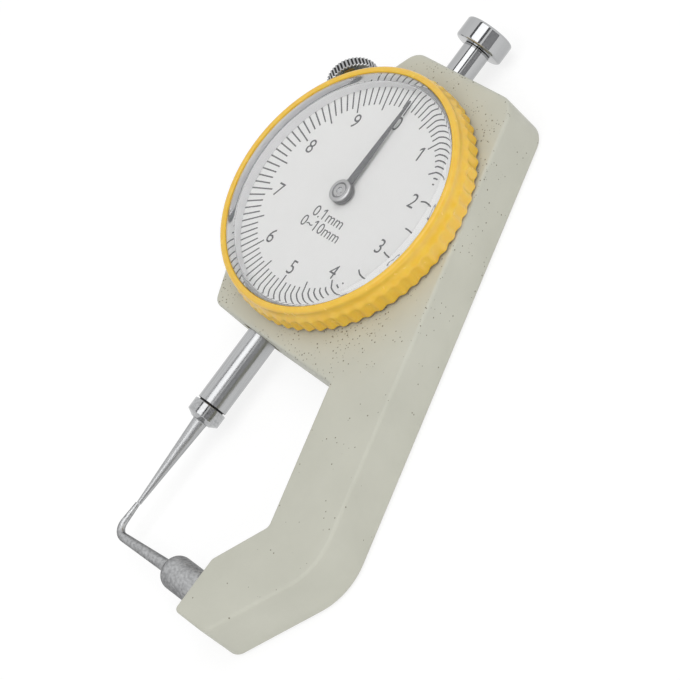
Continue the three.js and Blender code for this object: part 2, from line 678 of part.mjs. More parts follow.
// Slotted cheese-head screw that points down from the face at height z
function screw(x, y, z, radius, length, headRadius, headHeight) {
  const body = turned([
    [0, -length],
    [radius, -length],
    [radius, SEAT],
    [headRadius, SEAT],
    [headRadius, headHeight],
    [0, headHeight],
  ], SMALL);
  const slot = block(-headRadius - OVERRUN, headRadius + OVERRUN, -SCREW_SLOT / 2, SCREW_SLOT / 2,
    headHeight / 2, headHeight + OVERRUN);
  return cut(body, slot).translate(x, y, z);
}

const guideScrew = screw(GUIDE_SCREW_X, FLANGE_Y, FLOOR + SEAT + GUIDE_WALL, GUIDE_SCREW_RADIUS,
  GUIDE_WALL, 2 * GUIDE_SCREW_RADIUS, GUIDE_SCREW_RADIUS);
add("guide_plate_screw", guideScrew, STEEL);

// Anchor post and return spring, which pulls the spindle down onto the work
const ANCHOR_CIRCLE = POCKET_RADIUS - ANCHOR_MARGIN - ANCHOR_RADIUS;
const ANCHOR_Y = -Math.sqrt(ANCHOR_CIRCLE ** 2 - ANCHOR_X ** 2);
const post = turned([
  [0, FLOOR + SEAT],
  [2 * ANCHOR_RADIUS, FLOOR + SEAT],
  [2 * ANCHOR_RADIUS, FLOOR + ANCHOR_RADIUS],
  [ANCHOR_RADIUS, FLOOR + ANCHOR_RADIUS],
  [ANCHOR_RADIUS, FLOOR + ANCHOR_HEIGHT],
  [0, FLOOR + ANCHOR_HEIGHT],
], SMALL);
add("spring_anchor_post", post.translate(ANCHOR_X, ANCHOR_Y, 0), STEEL);

function makeReturnSpring() {
  const top = new THREE.Vector3(SPINDLE_X - SPRING_OFFSET, PIN_Y - PIN_RADIUS - SPRING_WIRE - SHAKE, SPINDLE_Z);
  const bottom = new THREE.Vector3(ANCHOR_X, ANCHOR_Y + ANCHOR_RADIUS + SPRING_WIRE + SHAKE, SPINDLE_Z);
  const axis = top.clone().sub(bottom);
  const steps = SPRING_STEPS * SPRING_TURNS;
  const turns = [];
  for (let i = 0; i <= steps; i += 1) {
    const angle = (TURN * SPRING_TURNS * i) / steps;
    const place = bottom.clone().addScaledVector(axis, i / steps);
    const across = new THREE.Vector3(axis.y, -axis.x, 0).normalize();
    place.addScaledVector(across, SPRING_RADIUS * Math.cos(angle));
    place.z += SPRING_RADIUS * Math.sin(angle);
    turns.push(place);
  }
  const path = new THREE.CatmullRomCurve3(turns);
  const section = new THREE.Shape(circle(SPRING_WIRE, SPRING_SIDES));
  return new THREE.ExtrudeGeometry(section, { steps, extrudePath: path });
}

add("return_spring", makeReturnSpring(), STEEL);

// Bearing for the lower pivot, pressed into the floor of the pocket
const PIVOT_LOW = FLOOR - PIVOT_BUSH_LENGTH / 2;
const pivotBush = turned([
  [0, PIVOT_LOW],
  [PIVOT_BUSH_RADIUS, PIVOT_LOW],
  [PIVOT_BUSH_RADIUS, PIVOT_LOW + PIVOT_BUSH_LENGTH],
  [PIVOT_RADIUS + RUNNING, PIVOT_LOW + PIVOT_BUSH_LENGTH],
  [PIVOT_RADIUS + RUNNING, PIVOT_LOW + PIVOT_BUSH_LENGTH / 2],
  [0, PIVOT_LOW + PIVOT_BUSH_LENGTH / 2],
], SMALL);
add("rear_pivot_bush", pivotBush, BRASS);

// Bridge plate on three pillars carries the upper bearing of the centre arbor
const PILLARS = [PILLAR_ANGLE, Math.PI, -PILLAR_ANGLE].map((angle) => [
  PILLAR_CIRCLE * Math.cos(angle),
  PILLAR_CIRCLE * Math.sin(angle),
]);

function makeBridge() {
  const outline = [];
  PILLARS.forEach(([x, y], i) => {
    const [beforeX, beforeY] = PILLARS[(i + 2) % 3];
    const [afterX, afterY] = PILLARS[(i + 1) % 3];
    const first = Math.atan2(y - beforeY, x - beforeX) - Math.PI / 2;
    let last = Math.atan2(afterY - y, afterX - x) - Math.PI / 2;
    while (last < first) last += TURN;
    const steps = Math.ceil((last - first) / ARC_STEP);
    for (let k = 0; k <= steps; k += 1) {
      const angle = first + ((last - first) * k) / steps;
      outline.push(new THREE.Vector2(x + BRIDGE_LOBE * Math.cos(angle), y + BRIDGE_LOBE * Math.sin(angle)));
    }
  });
  const holes = PILLARS.map(([x, y]) => circle(SCREW_RADIUS + SEAT, SMALL, new THREE.Vector2(x, y)));
  holes.push(circle(ARBOR_RADIUS + RUNNING, SMALL));
  return prism(outline, BRIDGE_Z, BRIDGE_Z + BRIDGE_THICKNESS, holes);
}

add("bridge_plate", makeBridge(), BRASS);

PILLARS.forEach(([x, y], i) => {
  const top = BRIDGE_Z - SEAT;
  const pillar = turned([
    [0, FLOOR + SEAT],
    [PILLAR_RADIUS, FLOOR + SEAT],
    [PILLAR_RADIUS, top],
    [SCREW_RADIUS + SEAT, top],
    [SCREW_RADIUS + SEAT, top - SCREW_LENGTH],
    [0, top - SCREW_LENGTH],
  ], SMALL);
  add(`bridge_pillar_${i + 1}`, pillar.translate(x, y, 0), BRASS);
  const face = BRIDGE_Z + BRIDGE_THICKNESS;
  add(`bridge_screw_${i + 1}`, screw(x, y, face, SCREW_RADIUS, SCREW_LENGTH, SCREW_HEAD_RADIUS, SCREW_HEAD), STEEL);
});

// Centre arbor with its pinion. Each flank is an involute of the base circle.
function pinionOutline() {
  const base = PITCH_RADIUS * Math.cos(PRESSURE_ANGLE);
  const involute = (radius) => {
    const angle = Math.acos(Math.min(1, base / radius));
    return Math.tan(angle) - angle;
  };
  const halfAtPitch = (RACK_PITCH / 2 - BACKLASH / 2) / (2 * PITCH_RADIUS);
  const halfAt = (radius) => halfAtPitch + involute(PITCH_RADIUS) - involute(radius);
  const root = PITCH_RADIUS - DEDENDUM;
  const tip = PITCH_RADIUS + ADDENDUM;
  const middle = (base + tip) / 2;
  const flank = [[root, halfAt(base)], [base, halfAt(base)], [middle, halfAt(middle)], [tip, halfAt(tip)]];
  const points = [];
  for (let tooth = 0; tooth < PINION_TEETH; tooth += 1) {
    const centre = Math.PI + (TURN * tooth) / PINION_TEETH;
    const place = ([radius, angle], side) => {
      const at = centre + side * angle;
      points.push(new THREE.Vector2(radius * Math.cos(at), radius * Math.sin(at)));
    };
    flank.forEach((step) => place(step, -1));
    [...flank].reverse().forEach((step) => place(step, 1));
  }
  return points;
}

const PINION_LOW = SPINDLE_Z - PINION_FACE / 2;
const PINION_HIGH = SPINDLE_Z + PINION_FACE / 2;
const NOSE_TOP = DIAL_Z + HUB_TOP - HUB_GROOVE;
const arbor = turned([
  [0, PIVOT_LOW + PIVOT_BUSH_LENGTH / 2 + SEAT],
  [PIVOT_RADIUS, PIVOT_LOW + PIVOT_BUSH_LENGTH / 2 + SEAT],
  [PIVOT_RADIUS, PIVOT_LOW + PIVOT_BUSH_LENGTH + SEAT],
  [ARBOR_RADIUS, PIVOT_LOW + PIVOT_BUSH_LENGTH + SEAT],
  [ARBOR_RADIUS, BRIDGE_Z + BRIDGE_THICKNESS + SHAKE],
  [NOSE_RADIUS, BRIDGE_Z + BRIDGE_THICKNESS + SHAKE],
  [NOSE_RADIUS, NOSE_TOP],
  [0, NOSE_TOP],
], SMALL);
add("centre_pinion", join(prism(pinionOutline(), PINION_LOW, PINION_HIGH), arbor), STEEL);

// Hairspring between the collet on the arbor and a stud under the bridge takes up the backlash
const COLLET_LOW = HAIRSPRING_Z + HAIRSPRING_HEIGHT / 2 - COLLET_HEIGHT / 2;
const collet = tube(ARBOR_RADIUS + SEAT, COLLET_RADIUS, COLLET_LOW, COLLET_LOW + COLLET_HEIGHT, SMALL);
add("hairspring_collet", collet, BRASS);

const HAIRSPRING_INNER = COLLET_RADIUS + SHAKE;
const STUD_REACH = HAIRSPRING_OUTER + HAIRSPRING_STUD_RADIUS + SHAKE;
const hairspringStud = rod(HAIRSPRING_STUD_RADIUS, HAIRSPRING_Z - SEAT, BRIDGE_Z - SEAT, SMALL);
add("hairspring_stud", hairspringStud.translate(
  STUD_REACH * Math.cos(HAIRSPRING_ANGLE), STUD_REACH * Math.sin(HAIRSPRING_ANGLE), 0), BRASS);

function makeHairspring() {
  const steps = HAIRSPRING_STEPS * HAIRSPRING_TURNS;
  const inner = [];
  const outer = [];
  for (let i = 0; i <= steps; i += 1) {
    const share = i / steps;
    const angle = HAIRSPRING_ANGLE - TURN * HAIRSPRING_TURNS * (1 - share);
    const radius = THREE.MathUtils.lerp(HAIRSPRING_INNER, HAIRSPRING_OUTER, share);
    const spot = new THREE.Vector2(Math.cos(angle), Math.sin(angle));
    inner.push(spot.clone().multiplyScalar(radius));
    outer.push(spot.clone().multiplyScalar(radius + HAIRSPRING_THICKNESS));
  }
  return prism([...inner, ...outer.reverse()], HAIRSPRING_Z, HAIRSPRING_Z + HAIRSPRING_HEIGHT);
}

add("hairspring", makeHairspring(), BLUED);

// Pointer hub pressed on the nose of the arbor, and the tapering hand under it
const HUB_LOW = DIAL_Z + HUB_BASE;
const HUB_HIGH = DIAL_Z + HUB_TOP;
const HAND_LOW = DIAL_Z + HAND_Z;
const hub = turned([
  [0, NOSE_TOP + SEAT],
  [NOSE_RADIUS + SEAT, NOSE_TOP + SEAT],
  [NOSE_RADIUS + SEAT, HUB_LOW],
  [HUB_RADIUS, HUB_LOW],
  [HUB_RADIUS, HAND_LOW - SEAT],
  [HUB_RADIUS - HAND_THICKNESS, HAND_LOW - SEAT],
  [HUB_RADIUS - HAND_THICKNESS, HAND_LOW + HAND_THICKNESS + SEAT],
  [HUB_RADIUS, HAND_LOW + HAND_THICKNESS + SEAT],
  [HUB_RADIUS, HUB_HIGH],
  [0, HUB_HIGH],
], SMALL);
add("pointer_hub", hub, STEEL);

function makeHand() {
  const ring = HUB_RADIUS - HAND_THICKNESS + SEAT;
  const outer = HUB_RADIUS;
  const half = HAND_ROOT_WIDTH / 2;
  const open = Math.asin(half / outer);
  const outline = [];
  const steps = SMALL;
  for (let i = 0; i <= steps; i += 1) {
    const angle = Math.PI / 2 + open + ((TURN - 2 * open) * i) / steps;
    outline.push(new THREE.Vector2(outer * Math.cos(angle), outer * Math.sin(angle)));
  }
  outline.push(new THREE.Vector2(HAND_TIP_WIDTH / 2, HAND_LENGTH - HAND_TIP_WIDTH));
  outline.push(new THREE.Vector2(0, HAND_LENGTH));
  outline.push(new THREE.Vector2(-HAND_TIP_WIDTH / 2, HAND_LENGTH - HAND_TIP_WIDTH));
  return prism(outline, HAND_LOW, HAND_LOW + HAND_THICKNESS, [circle(ring, SMALL)]);
}

add("pointer_hand", makeHand(), INK);

// Dial plate on the shelf of the bezel
add("dial_plate", tube(DIAL_HOLE, CRYSTAL_RADIUS - SEAT, DIAL_Z - DIAL_THICKNESS, DIAL_Z, FINE), WHITE);

// Crystal: a thick flat window with a curved shoulder, and a deep rim that holds the dial down
const CRYSTAL_LOW = DIAL_Z + SEAT;
const CRYSTAL_INNER = CRYSTAL_RADIUS - CRYSTAL_RIM;
const CRYSTAL_UNDER = CRYSTAL_TOP - CRYSTAL_WINDOW;

// The shoulder is an arc that leaves the flat top without a corner
function crystalShoulder() {
  const radius = (CRYSTAL_SHOULDER ** 2 + CRYSTAL_DROP ** 2) / (2 * CRYSTAL_DROP);
  const span = Math.asin(CRYSTAL_SHOULDER / radius);
  const steps = 3;
  const points = [];
  for (let i = steps; i >= 0; i -= 1) {
    const angle = (span * i) / steps;
    const out = CRYSTAL_RADIUS - CRYSTAL_SHOULDER + radius * Math.sin(angle);
    points.push([out, CRYSTAL_TOP - radius * (1 - Math.cos(angle))]);
  }
  return points;
}

add("crystal", turned([
  [0, CRYSTAL_UNDER],
  [CRYSTAL_INNER - CRYSTAL_FILLET, CRYSTAL_UNDER],
  [CRYSTAL_INNER, CRYSTAL_UNDER - CRYSTAL_FILLET],
  [CRYSTAL_INNER, CRYSTAL_LOW],
  [CRYSTAL_RADIUS, CRYSTAL_LOW],
  ...crystalShoulder(),
  [0, CRYSTAL_TOP],
], FINE), CLEAR);

// Bezel: a bore that runs on the register, a shelf for the dial, a round lip and a fluted skirt
const BEZEL_LOW = THICKNESS + BEZEL_GAP;
const BORE_RADIUS = REGISTER_RADIUS + RUNNING;
const SHELF_Z = DIAL_Z - DIAL_THICKNESS - SEAT;

function bezelSection() {
  const ringOuter = REGISTER_RADIUS + RING_SPREAD + RING_SLOT;
  const seatRadius = CRYSTAL_RADIUS + SEAT;
  const lipRound = (LIP_RADIUS - seatRadius) / 2;
  const lipMiddle = seatRadius + lipRound;
  const lip = [];
  const lipSteps = 5;
  for (let i = 0; i <= lipSteps; i += 1) {
    const angle = Math.PI - (Math.PI * i) / lipSteps;
    lip.push([lipMiddle + lipRound * Math.cos(angle), LIP_TOP - lipRound + lipRound * Math.sin(angle)]);
  }
  const inward = [
    [GROOVE_RADIUS, BEZEL_LOW],
    [BORE_RADIUS, BEZEL_LOW],
    [BORE_RADIUS, RING_LOW - RING_SLOT],
    [ringOuter, RING_LOW - RING_SLOT],
    [ringOuter, RING_LOW + RING_WIRE + RING_SLOT],
    [BORE_RADIUS, RING_LOW + RING_WIRE + RING_SLOT],
    [BORE_RADIUS, SHELF_Z],
    [seatRadius, SHELF_Z],
  ];
  return [...inward, ...lip, [GROOVE_RADIUS, GROOVE_Z]].reverse();
}

function flutedOutline() {
  const depthShares = [0, 0.9, 0.9];
  const points = [];
  for (let flute = 0; flute < FLUTES; flute += 1) {
    depthShares.forEach((share, k) => {
      const angle = (TURN * (flute + k / depthShares.length)) / FLUTES;
      const radius = RIDGE_RADIUS - FLUTE_DEPTH * share;
      points.push(new THREE.Vector2(radius * Math.cos(angle), radius * Math.sin(angle)));
    });
  }
  return points;
}

const bezelCore = turned(bezelSection(), FLUTES);
const skirt = prism(flutedOutline(), BEZEL_LOW, SKIRT_TOP, [circle(GROOVE_RADIUS - EDGE, FLUTES)]);
add("bezel_ring", join(bezelCore, skirt), YELLOW);

// Sprung wire ring that holds the bezel on the register
function makeRetainingRing() {
  const shape = new THREE.Shape();
  const outer = REGISTER_RADIUS + RING_SPREAD;
  const inner = REGISTER_RADIUS - RING_SPREAD;
  shape.absarc(0, 0, outer, RING_OPENING / 2, TURN - RING_OPENING / 2, false);
  shape.absarc(0, 0, inner, TURN - RING_OPENING / 2, RING_OPENING / 2, true);
  const options = { depth: RING_WIRE, bevelEnabled: false, curveSegments: ROUND };
  return new THREE.ExtrudeGeometry(shape, options).translate(0, 0, RING_LOW);
}

add("bezel_retaining_ring", makeRetainingRing(), STEEL);

// Clamp screw with a knurled head, and the pad on its spigot whose slanting nose faces the flat
const SHANK_END = -CLAMP_DEPTH + PAD_LENGTH;

function makeClampScrew() {
  const knurl = [];
  for (let i = 0; i < 2 * CLAMP_KNURLS; i += 1) {
    const angle = (Math.PI * i) / CLAMP_KNURLS;
    const radius = CLAMP_HEAD_RADIUS - (i % 2) * CLAMP_KNURL_DEPTH;
    knurl.push(new THREE.Vector2(radius * Math.cos(angle), radius * Math.sin(angle)));
  }
  const head = prism(knurl, CLAMP_REACH, CLAMP_REACH + CLAMP_HEAD);
  const bevelled = turned([
    [0, CLAMP_REACH - OVERRUN],
    [CLAMP_HEAD_RADIUS - CLAMP_BEVEL - OVERRUN, CLAMP_REACH - OVERRUN],
    [CLAMP_HEAD_RADIUS + OVERRUN, CLAMP_REACH + CLAMP_BEVEL + OVERRUN],
    [CLAMP_HEAD_RADIUS + OVERRUN, CLAMP_REACH + CLAMP_HEAD - CLAMP_BEVEL - OVERRUN],
    [CLAMP_HEAD_RADIUS - CLAMP_BEVEL - OVERRUN, CLAMP_REACH + CLAMP_HEAD + OVERRUN],
    [0, CLAMP_REACH + CLAMP_HEAD + OVERRUN],
  ], ROUND);
  const shank = turned([
    [0, SHANK_END - PAD_SPIGOT + SEAT],
    [PAD_SPIGOT_RADIUS, SHANK_END - PAD_SPIGOT + SEAT],
    [PAD_SPIGOT_RADIUS, SHANK_END + SEAT],
    [CLAMP_SHANK_RADIUS, SHANK_END + SEAT],
    [CLAMP_SHANK_RADIUS, CLAMP_REACH - CLAMP_NECK],
    [CLAMP_NECK_RADIUS, CLAMP_REACH - CLAMP_NECK],
    [CLAMP_NECK_RADIUS, CLAMP_REACH + CLAMP_HEAD / 2],
    [0, CLAMP_REACH + CLAMP_HEAD / 2],
  ], SMALL);
  const rounded = solid(head).intersect(solid(bevelled));
  return alongClamp(geometryOf(rounded.add(solid(shank))));
}

add("clamp_screw", makeClampScrew(), CHROME);

function makeClampPad() {
  const plug = turned([
    [0, SHANK_END - PAD_SPIGOT],
    [PAD_SPIGOT_RADIUS + RUNNING, SHANK_END - PAD_SPIGOT],
    [PAD_SPIGOT_RADIUS + RUNNING, SHANK_END],
    [PAD_RADIUS, SHANK_END],
    [PAD_RADIUS, -CLAMP_DEPTH - PAD_RADIUS],
    [0, -CLAMP_DEPTH - PAD_RADIUS],
  ], SMALL);
  const noseX = SPINDLE_X - ROD_RADIUS - CLAMP_OPEN;
  const beyond = PAD_LENGTH + PAD_RADIUS;
  const y = CLAMP_HEIGHT - CLAMP_DEPTH * CLAMP_OUT.y;
  const nose = block(noseX, noseX + beyond, y - beyond, y + beyond, SPINDLE_Z - beyond, SPINDLE_Z + beyond);
  return cut(alongClamp(plug), nose);
}

add("clamp_pad", makeClampPad(), NYLON);

export default caliper;
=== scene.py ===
import json
import math

import bmesh
import bpy
import numpy as np
from mathutils import Matrix


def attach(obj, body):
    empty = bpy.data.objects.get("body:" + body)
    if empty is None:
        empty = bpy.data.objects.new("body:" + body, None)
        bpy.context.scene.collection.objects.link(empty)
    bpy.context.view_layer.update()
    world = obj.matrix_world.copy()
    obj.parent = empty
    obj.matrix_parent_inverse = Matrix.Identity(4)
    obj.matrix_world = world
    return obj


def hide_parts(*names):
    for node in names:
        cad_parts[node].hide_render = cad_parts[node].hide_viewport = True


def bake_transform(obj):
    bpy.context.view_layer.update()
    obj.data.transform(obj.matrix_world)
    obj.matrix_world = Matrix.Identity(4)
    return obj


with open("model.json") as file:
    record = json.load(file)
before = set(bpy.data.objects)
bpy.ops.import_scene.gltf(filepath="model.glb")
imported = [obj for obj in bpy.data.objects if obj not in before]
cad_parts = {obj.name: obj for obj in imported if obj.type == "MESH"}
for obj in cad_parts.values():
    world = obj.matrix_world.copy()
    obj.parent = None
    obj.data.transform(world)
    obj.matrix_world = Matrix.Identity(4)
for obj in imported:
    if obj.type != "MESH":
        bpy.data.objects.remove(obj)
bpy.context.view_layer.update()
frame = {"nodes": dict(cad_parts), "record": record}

# Dial thickness caliper: finished surfaces, materials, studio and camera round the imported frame.
# Shapes are worked out in millimetres in the frame's own axes, and make_object() turns them into
# metres. A profile is a row of (radius, height, corner radius).

MM = 0.001
TURN = 2 * math.pi

# Camera, in millimetres, with its right, up and back directions
CAMERA_PLACE = (348.6197, -51.92, 331.0107)
CAMERA_RIGHT = (0.588032, 0.595515, -0.547339)
CAMERA_UP = (-0.372255, 0.800027, 0.470513)
CAMERA_BACK = (0.718084, -0.072927, 0.692125)
CAMERA_LENS = 173.118
CAMERA_SENSOR = 36

# Place near the middle of the gauge that lamps and cards look at, in millimetres
AIM = (0.0, -15.0, 5.0)

# Frame outline: x, y and corner radius, anticlockwise from the top left
OUTLINE = [
    (-9.6, 24.65, 3),
    (-19, 7.337, 2),
    (-19, -9.804, 2),
    (-12.2, -23.15, 2),
    (17.6, -23.95, 0.6),
    (24.819, -45.4, 1.2),
    (19.6, -53.7, 1.2),
    (19.6, -62.65, 0.8),
    (27.1, -62.65, 2.2),
    (37.668, -46.45, 10),
    (13.74, 24.65, 4),
]
THICKNESS = 8.7
EDGE_ROUND = 0.55

# Front of the frame: pocket for the movement, register and wire groove for the bezel
POCKET_FLOOR = 1.6
REGISTER_RADIUS = 18
REGISTER_FOOT = 8.2
REGISTER_TOP = 10.1
WIRE_LOW, WIRE_HIGH = 9.25, 9.85
REGISTER_GROOVE, BEZEL_GROOVE = 17.45, 18.55

# Bores of the frame: radius and both ends, each on its own line
POCKET = (16.2, POCKET_FLOOR, 12)
LOWER_BUSH_BORE = (3.38, -25, -14.5)
UPPER_BUSH_BORE = (3.135, 14.5, 26)
CLAMP_BORE = (1.56, -10.8, 1)
SPIGOT_BORE = (1.55, -1, 7.05)
SET_SCREW_BORE = (1.05, -63.65, -58.35)
REAR_BUSH_BORE = (1.65, 0.75, 2.6)

# Spindle line
SPINDLE_X = -3.77
SPINDLE_Z = 4.35
SPINDLE_RADIUS = 2.42
SPINDLE_END = -36
SPINDLE_TOP = 4
ROD_RADIUS = 2.175
STUD_RADIUS, STUD_BORE = 1.2, 1.25
POINT_BORE_TOP, ROD_BORE_LOW, CAP_BORE_TOP = -31, -1, 31.8
END_GAP = 0.22  # height of the dark recess over the collar
CAP_LOW = 30
CAP_RADIUS = 3.92
CAP_HEIGHT = 3.5
COLLAR_RADIUS = 2.65
POINT_TOP = -38.65
TIP_Y = -53.7
PIN_Y = -4.5
PIN_RADIUS = 0.75
SEAT = 0.05  # left between pieces that are screwed or pressed together
REST_GAP = 0.04  # left between the point and the anvil at zero

# Anvil line
FOOT_X = 19.6
ANVIL_Y = -58.35
ANVIL_RADIUS = 2.65
ANVIL_LENGTH = 9.7
SPIGOT_RADIUS = 1.5
SET_SCREW_X = 23.1

# Clamp line, with the sine and cosine of its lean from the spindle line
CLAMP_X = -15.5129
CLAMP_Y = 13.76
CLAMP_LEAN = math.pi / 2 - math.radians(28.5)
CLAMP_COS, CLAMP_SIN = math.cos(CLAMP_LEAN), math.sin(CLAMP_LEAN)
KNOB_LOW = 6.3
KNOB_THICKNESS = 1.75
KNOB_RADIUS = 4.1
KNURLS = 42

# Bezel, crystal and dial
BEZEL_BORE = 18.06
BEZEL_SEAT = 19.55
BEZEL_LOW = 9.0
RIDGE_RADIUS = 21.18
FLUTES = 63
DIAL_Z = 10.62
DIAL_RADIUS = 19.45
DIAL_HOLE = 1.2
DIAL_TURN = math.radians(0.8)
CRYSTAL_RADIUS = 19.5
CRYSTAL_BORE = 18.5
CRYSTAL_TOP = 14.4
CRYSTAL_UNDER = 12.3
HUB_RADIUS = 1.85


def linear(code):
    """Linear colour of an sRGB hex code."""
    levels = np.array([int(code[i:i + 2], 16) for i in (0, 2, 4)]) / 255
    levels = np.where(levels <= 0.04045, levels / 12.92, ((levels + 0.055) / 1.055) ** 2.4)
    return (*levels.tolist(), 1.0)


def unit(vectors):
    """Directions of vectors, with length 1."""
    return vectors / np.linalg.norm(vectors, axis=-1, keepdims=True)


def rounded(corners, steps=6):
    """Polyline whose corners (u, v, radius) are arcs: each runs from tangent point to tangent
    point, radius / tan(half the corner's angle) away from the corner. Radius 0 keeps it sharp."""
    points = []
    last = len(corners) - 1
    for i, (u, v, radius) in enumerate(corners):
        corner = np.array([u, v], float)
        if radius == 0 or i in (0, last):
            points.append(corner)
            continue
        before, after = corners[i - 1][:2], corners[i + 1][:2]
        points.extend(corner_arc(before, corner, after, radius, steps)[0])
    return np.array(points)


def corner_arc(before, corner, after, radius, steps):
    """Arc of a rounded corner, with the outward normals of an anticlockwise outline."""
    inward, outward = unit(np.subtract(before, corner)), unit(np.subtract(after, corner))
    half = math.acos(float(np.clip(inward @ outward, -1, 1))) / 2
    centre = corner + unit(inward + outward) * radius / math.sin(half)
    start = corner + inward * radius / math.tan(half) - centre
    sign = math.copysign(1, outward[0] * inward[1] - outward[1] * inward[0])
    angles = np.linspace(0, sign * (math.pi - 2 * half), steps + 1)
    cosines, sines = np.cos(angles), np.sin(angles)
    spokes = np.stack([start[0] * cosines - start[1] * sines,
                       start[0] * sines + start[1] * cosines], -1)
    return centre + spokes, sign * spokes / radius


def run_lengths(path):
    """Distance along a path from its first point to each of its points."""
    return np.concatenate([[0], np.cumsum(np.linalg.norm(np.diff(path, axis=0), axis=1))])


def refined(profile, step):
    """The same polyline with more points, so that no run is longer than the step."""
    run = run_lengths(profile)
    places = np.unique(np.concatenate([run, np.arange(0, run[-1], step)]))
    return np.column_stack([np.interp(places, run, profile[:, k]) for k in (0, 1)])


def revolve(profile, segments):
    """Rings of the points (r cos a, r sin a, z) for each profile point (r, z) and each angle a."""
    angles = np.arange(segments) * TURN / segments
    radius, height = profile[:, 0, None], profile[:, 1, None]
    flat = np.zeros(segments)
    return np.stack([radius * np.cos(angles), radius * np.sin(angles), height + flat], -1)


def turned(corners, segments=128, steps=6):
    """Solid of revolution about Z, from a profile."""
    return revolve(rounded(corners, steps), segments)


def rod(radius, low, high, segments):
    """Plain cylinder on Z."""
    return turned([(0, low, 0), (radius, low, 0), (radius, high, 0), (0, high, 0)], segments)


def tube(inner, outer, low, high, segments, edge=0):
    """Plain ring on Z, a loop for skin(), with its outer top edge rounded."""
    return turned([(inner, low, 0), (outer, low, 0), (outer, high, edge), (inner, high, 0),
                   (inner, low, 0)], segments)[:-1]


def circles(path, first, second, radii, sides):
    """Rings of a round rod: centre + radius (first cos a + second sin a) for each angle a."""
    angles = np.arange(sides) * TURN / sides
    cosines, sines = np.cos(angles)[:, None], np.sin(angles)[:, None]
    spokes = first[:, None] * cosines + second[:, None] * sines
    return path[:, None] + np.reshape(radii, (-1, 1, 1)) * spokes


def along_y(points, x=SPINDLE_X):
    """Lays a shape that stands on Z along the spindle: (x, y, z) goes to (x, z, -y)."""
    return np.stack([points[..., 0] + x, points[..., 2], SPINDLE_Z - points[..., 1]], -1)


def along_x(points, x, y):
    """Lays a shape that stands on Z across the spindle: (x, y, z) goes to (z, y, -x)."""
    return np.stack([points[..., 2] + x, points[..., 1] + y, SPINDLE_Z - points[..., 0]], -1)


def along_clamp(points):
    """Lays a shape that stands on Z along the clamp line, square to the slanting face."""
    x, y, z = points[..., 0], points[..., 2], -points[..., 1]
    return np.stack([x * CLAMP_COS - y * CLAMP_SIN + CLAMP_X,
                     x * CLAMP_SIN + y * CLAMP_COS + CLAMP_Y, z + SPINDLE_Z], -1)


def spin(points, angle):
    """Turns points anticlockwise about the dial's axis."""
    c, s = math.cos(angle), math.sin(angle)
    x, y = points[:, 0], points[:, 1]
    return np.column_stack([x * c - y * s, x * s + y * c, points[:, 2]])


def skin(rings, loop=False):
    """Quads between neighbouring rings, each ring closed on itself. The first and last ring are
    capped, or joined to each other where the section is a loop."""
    count, size = rings.shape[:2]
    index = np.arange(count * size).reshape(count, size)
    if loop:
        index = np.vstack([index, index[:1]])
    low, high = index[:-1], index[1:]
    quads = np.stack([low, np.roll(low, -1, 1), np.roll(high, -1, 1), high], -1)
    faces = quads.reshape(-1, 4).tolist()
    if not loop:
        faces += [index[0][::-1].tolist(), index[-1].tolist()]
    return rings.reshape(-1, 3), faces


def box(low, high):
    """Vertices and faces of a block between two corners."""
    corners = np.array([[x, y, z] for z in (low[2], high[2]) for y in (low[1], high[1])
                        for x in (low[0], high[0])], float)
    return corners, [[0, 2, 3, 1], [4, 5, 7, 6], [0, 1, 5, 4],
                     [2, 6, 7, 3], [0, 4, 6, 2], [1, 3, 7, 5]]


def plate(outline, low, high):
    """Prism over an outline of (x, y) points."""
    flat = np.ones(len(outline))
    return skin(np.stack([np.column_stack([outline, flat * z]) for z in (low, high)]))


def flat_sheet(width, height, z=0.0):
    """Rectangle about the origin, with one face."""
    w, h = width / 2, height / 2
    return np.array([[-w, -h, z], [w, -h, z], [w, h, z], [-w, h, z]]), [[0, 1, 2, 3]]


def merged(shapes):
    """One shape of many."""
    vertices, faces, start = [], [], 0
    for places, sides in shapes:
        vertices.append(places)
        faces += [[start + k for k in side] for side in sides]
        start += len(places)
    return np.vstack(vertices), faces


def linked(name, data):
    """New object in the scene."""
    made = bpy.data.objects.new(name, data)
    bpy.context.scene.collection.objects.link(made)
    return made


def evaluated_mesh(thing):
    """New mesh of an object as its modifiers or its font leave it."""
    view = bpy.context.evaluated_depsgraph_get()
    return bpy.data.meshes.new_from_object(thing.evaluated_get(view))


def make_object(name, shape):
    """Object in metres, with poles and seams merged and faces turned outward."""
    vertices, faces = shape
    mesh = bpy.data.meshes.new(name)
    mesh.from_pydata((np.asarray(vertices) * MM).tolist(), [], faces)
    work = bmesh.new()
    work.from_mesh(mesh)
    bmesh.ops.remove_doubles(work, verts=work.verts, dist=1e-8)
    bmesh.ops.recalc_face_normals(work, faces=work.faces)
    work.to_mesh(mesh)
    work.free()
    return linked(name, mesh)


def carve(target, shape, operation="DIFFERENCE"):
    """Joins or cuts a shape with the exact solver and keeps the result as the target's mesh."""
    tool = make_object("tool", shape)
    modifier = target.modifiers.new("carve", "BOOLEAN")
    modifier.operation = operation
    modifier.solver = "EXACT"
    modifier.object = tool
    mesh = evaluated_mesh(target)
    target.modifiers.clear()
    old, target.data = target.data, mesh
    mesh.name = target.name
    bpy.data.meshes.remove(old)
    bpy.data.objects.remove(tool)


def dress(mesh, material):
    """Gives a mesh one material and smooth faces."""
    mesh.materials.clear()
    mesh.materials.append(material)
    mesh.polygons.foreach_set("use_smooth", np.ones(len(mesh.polygons), bool))


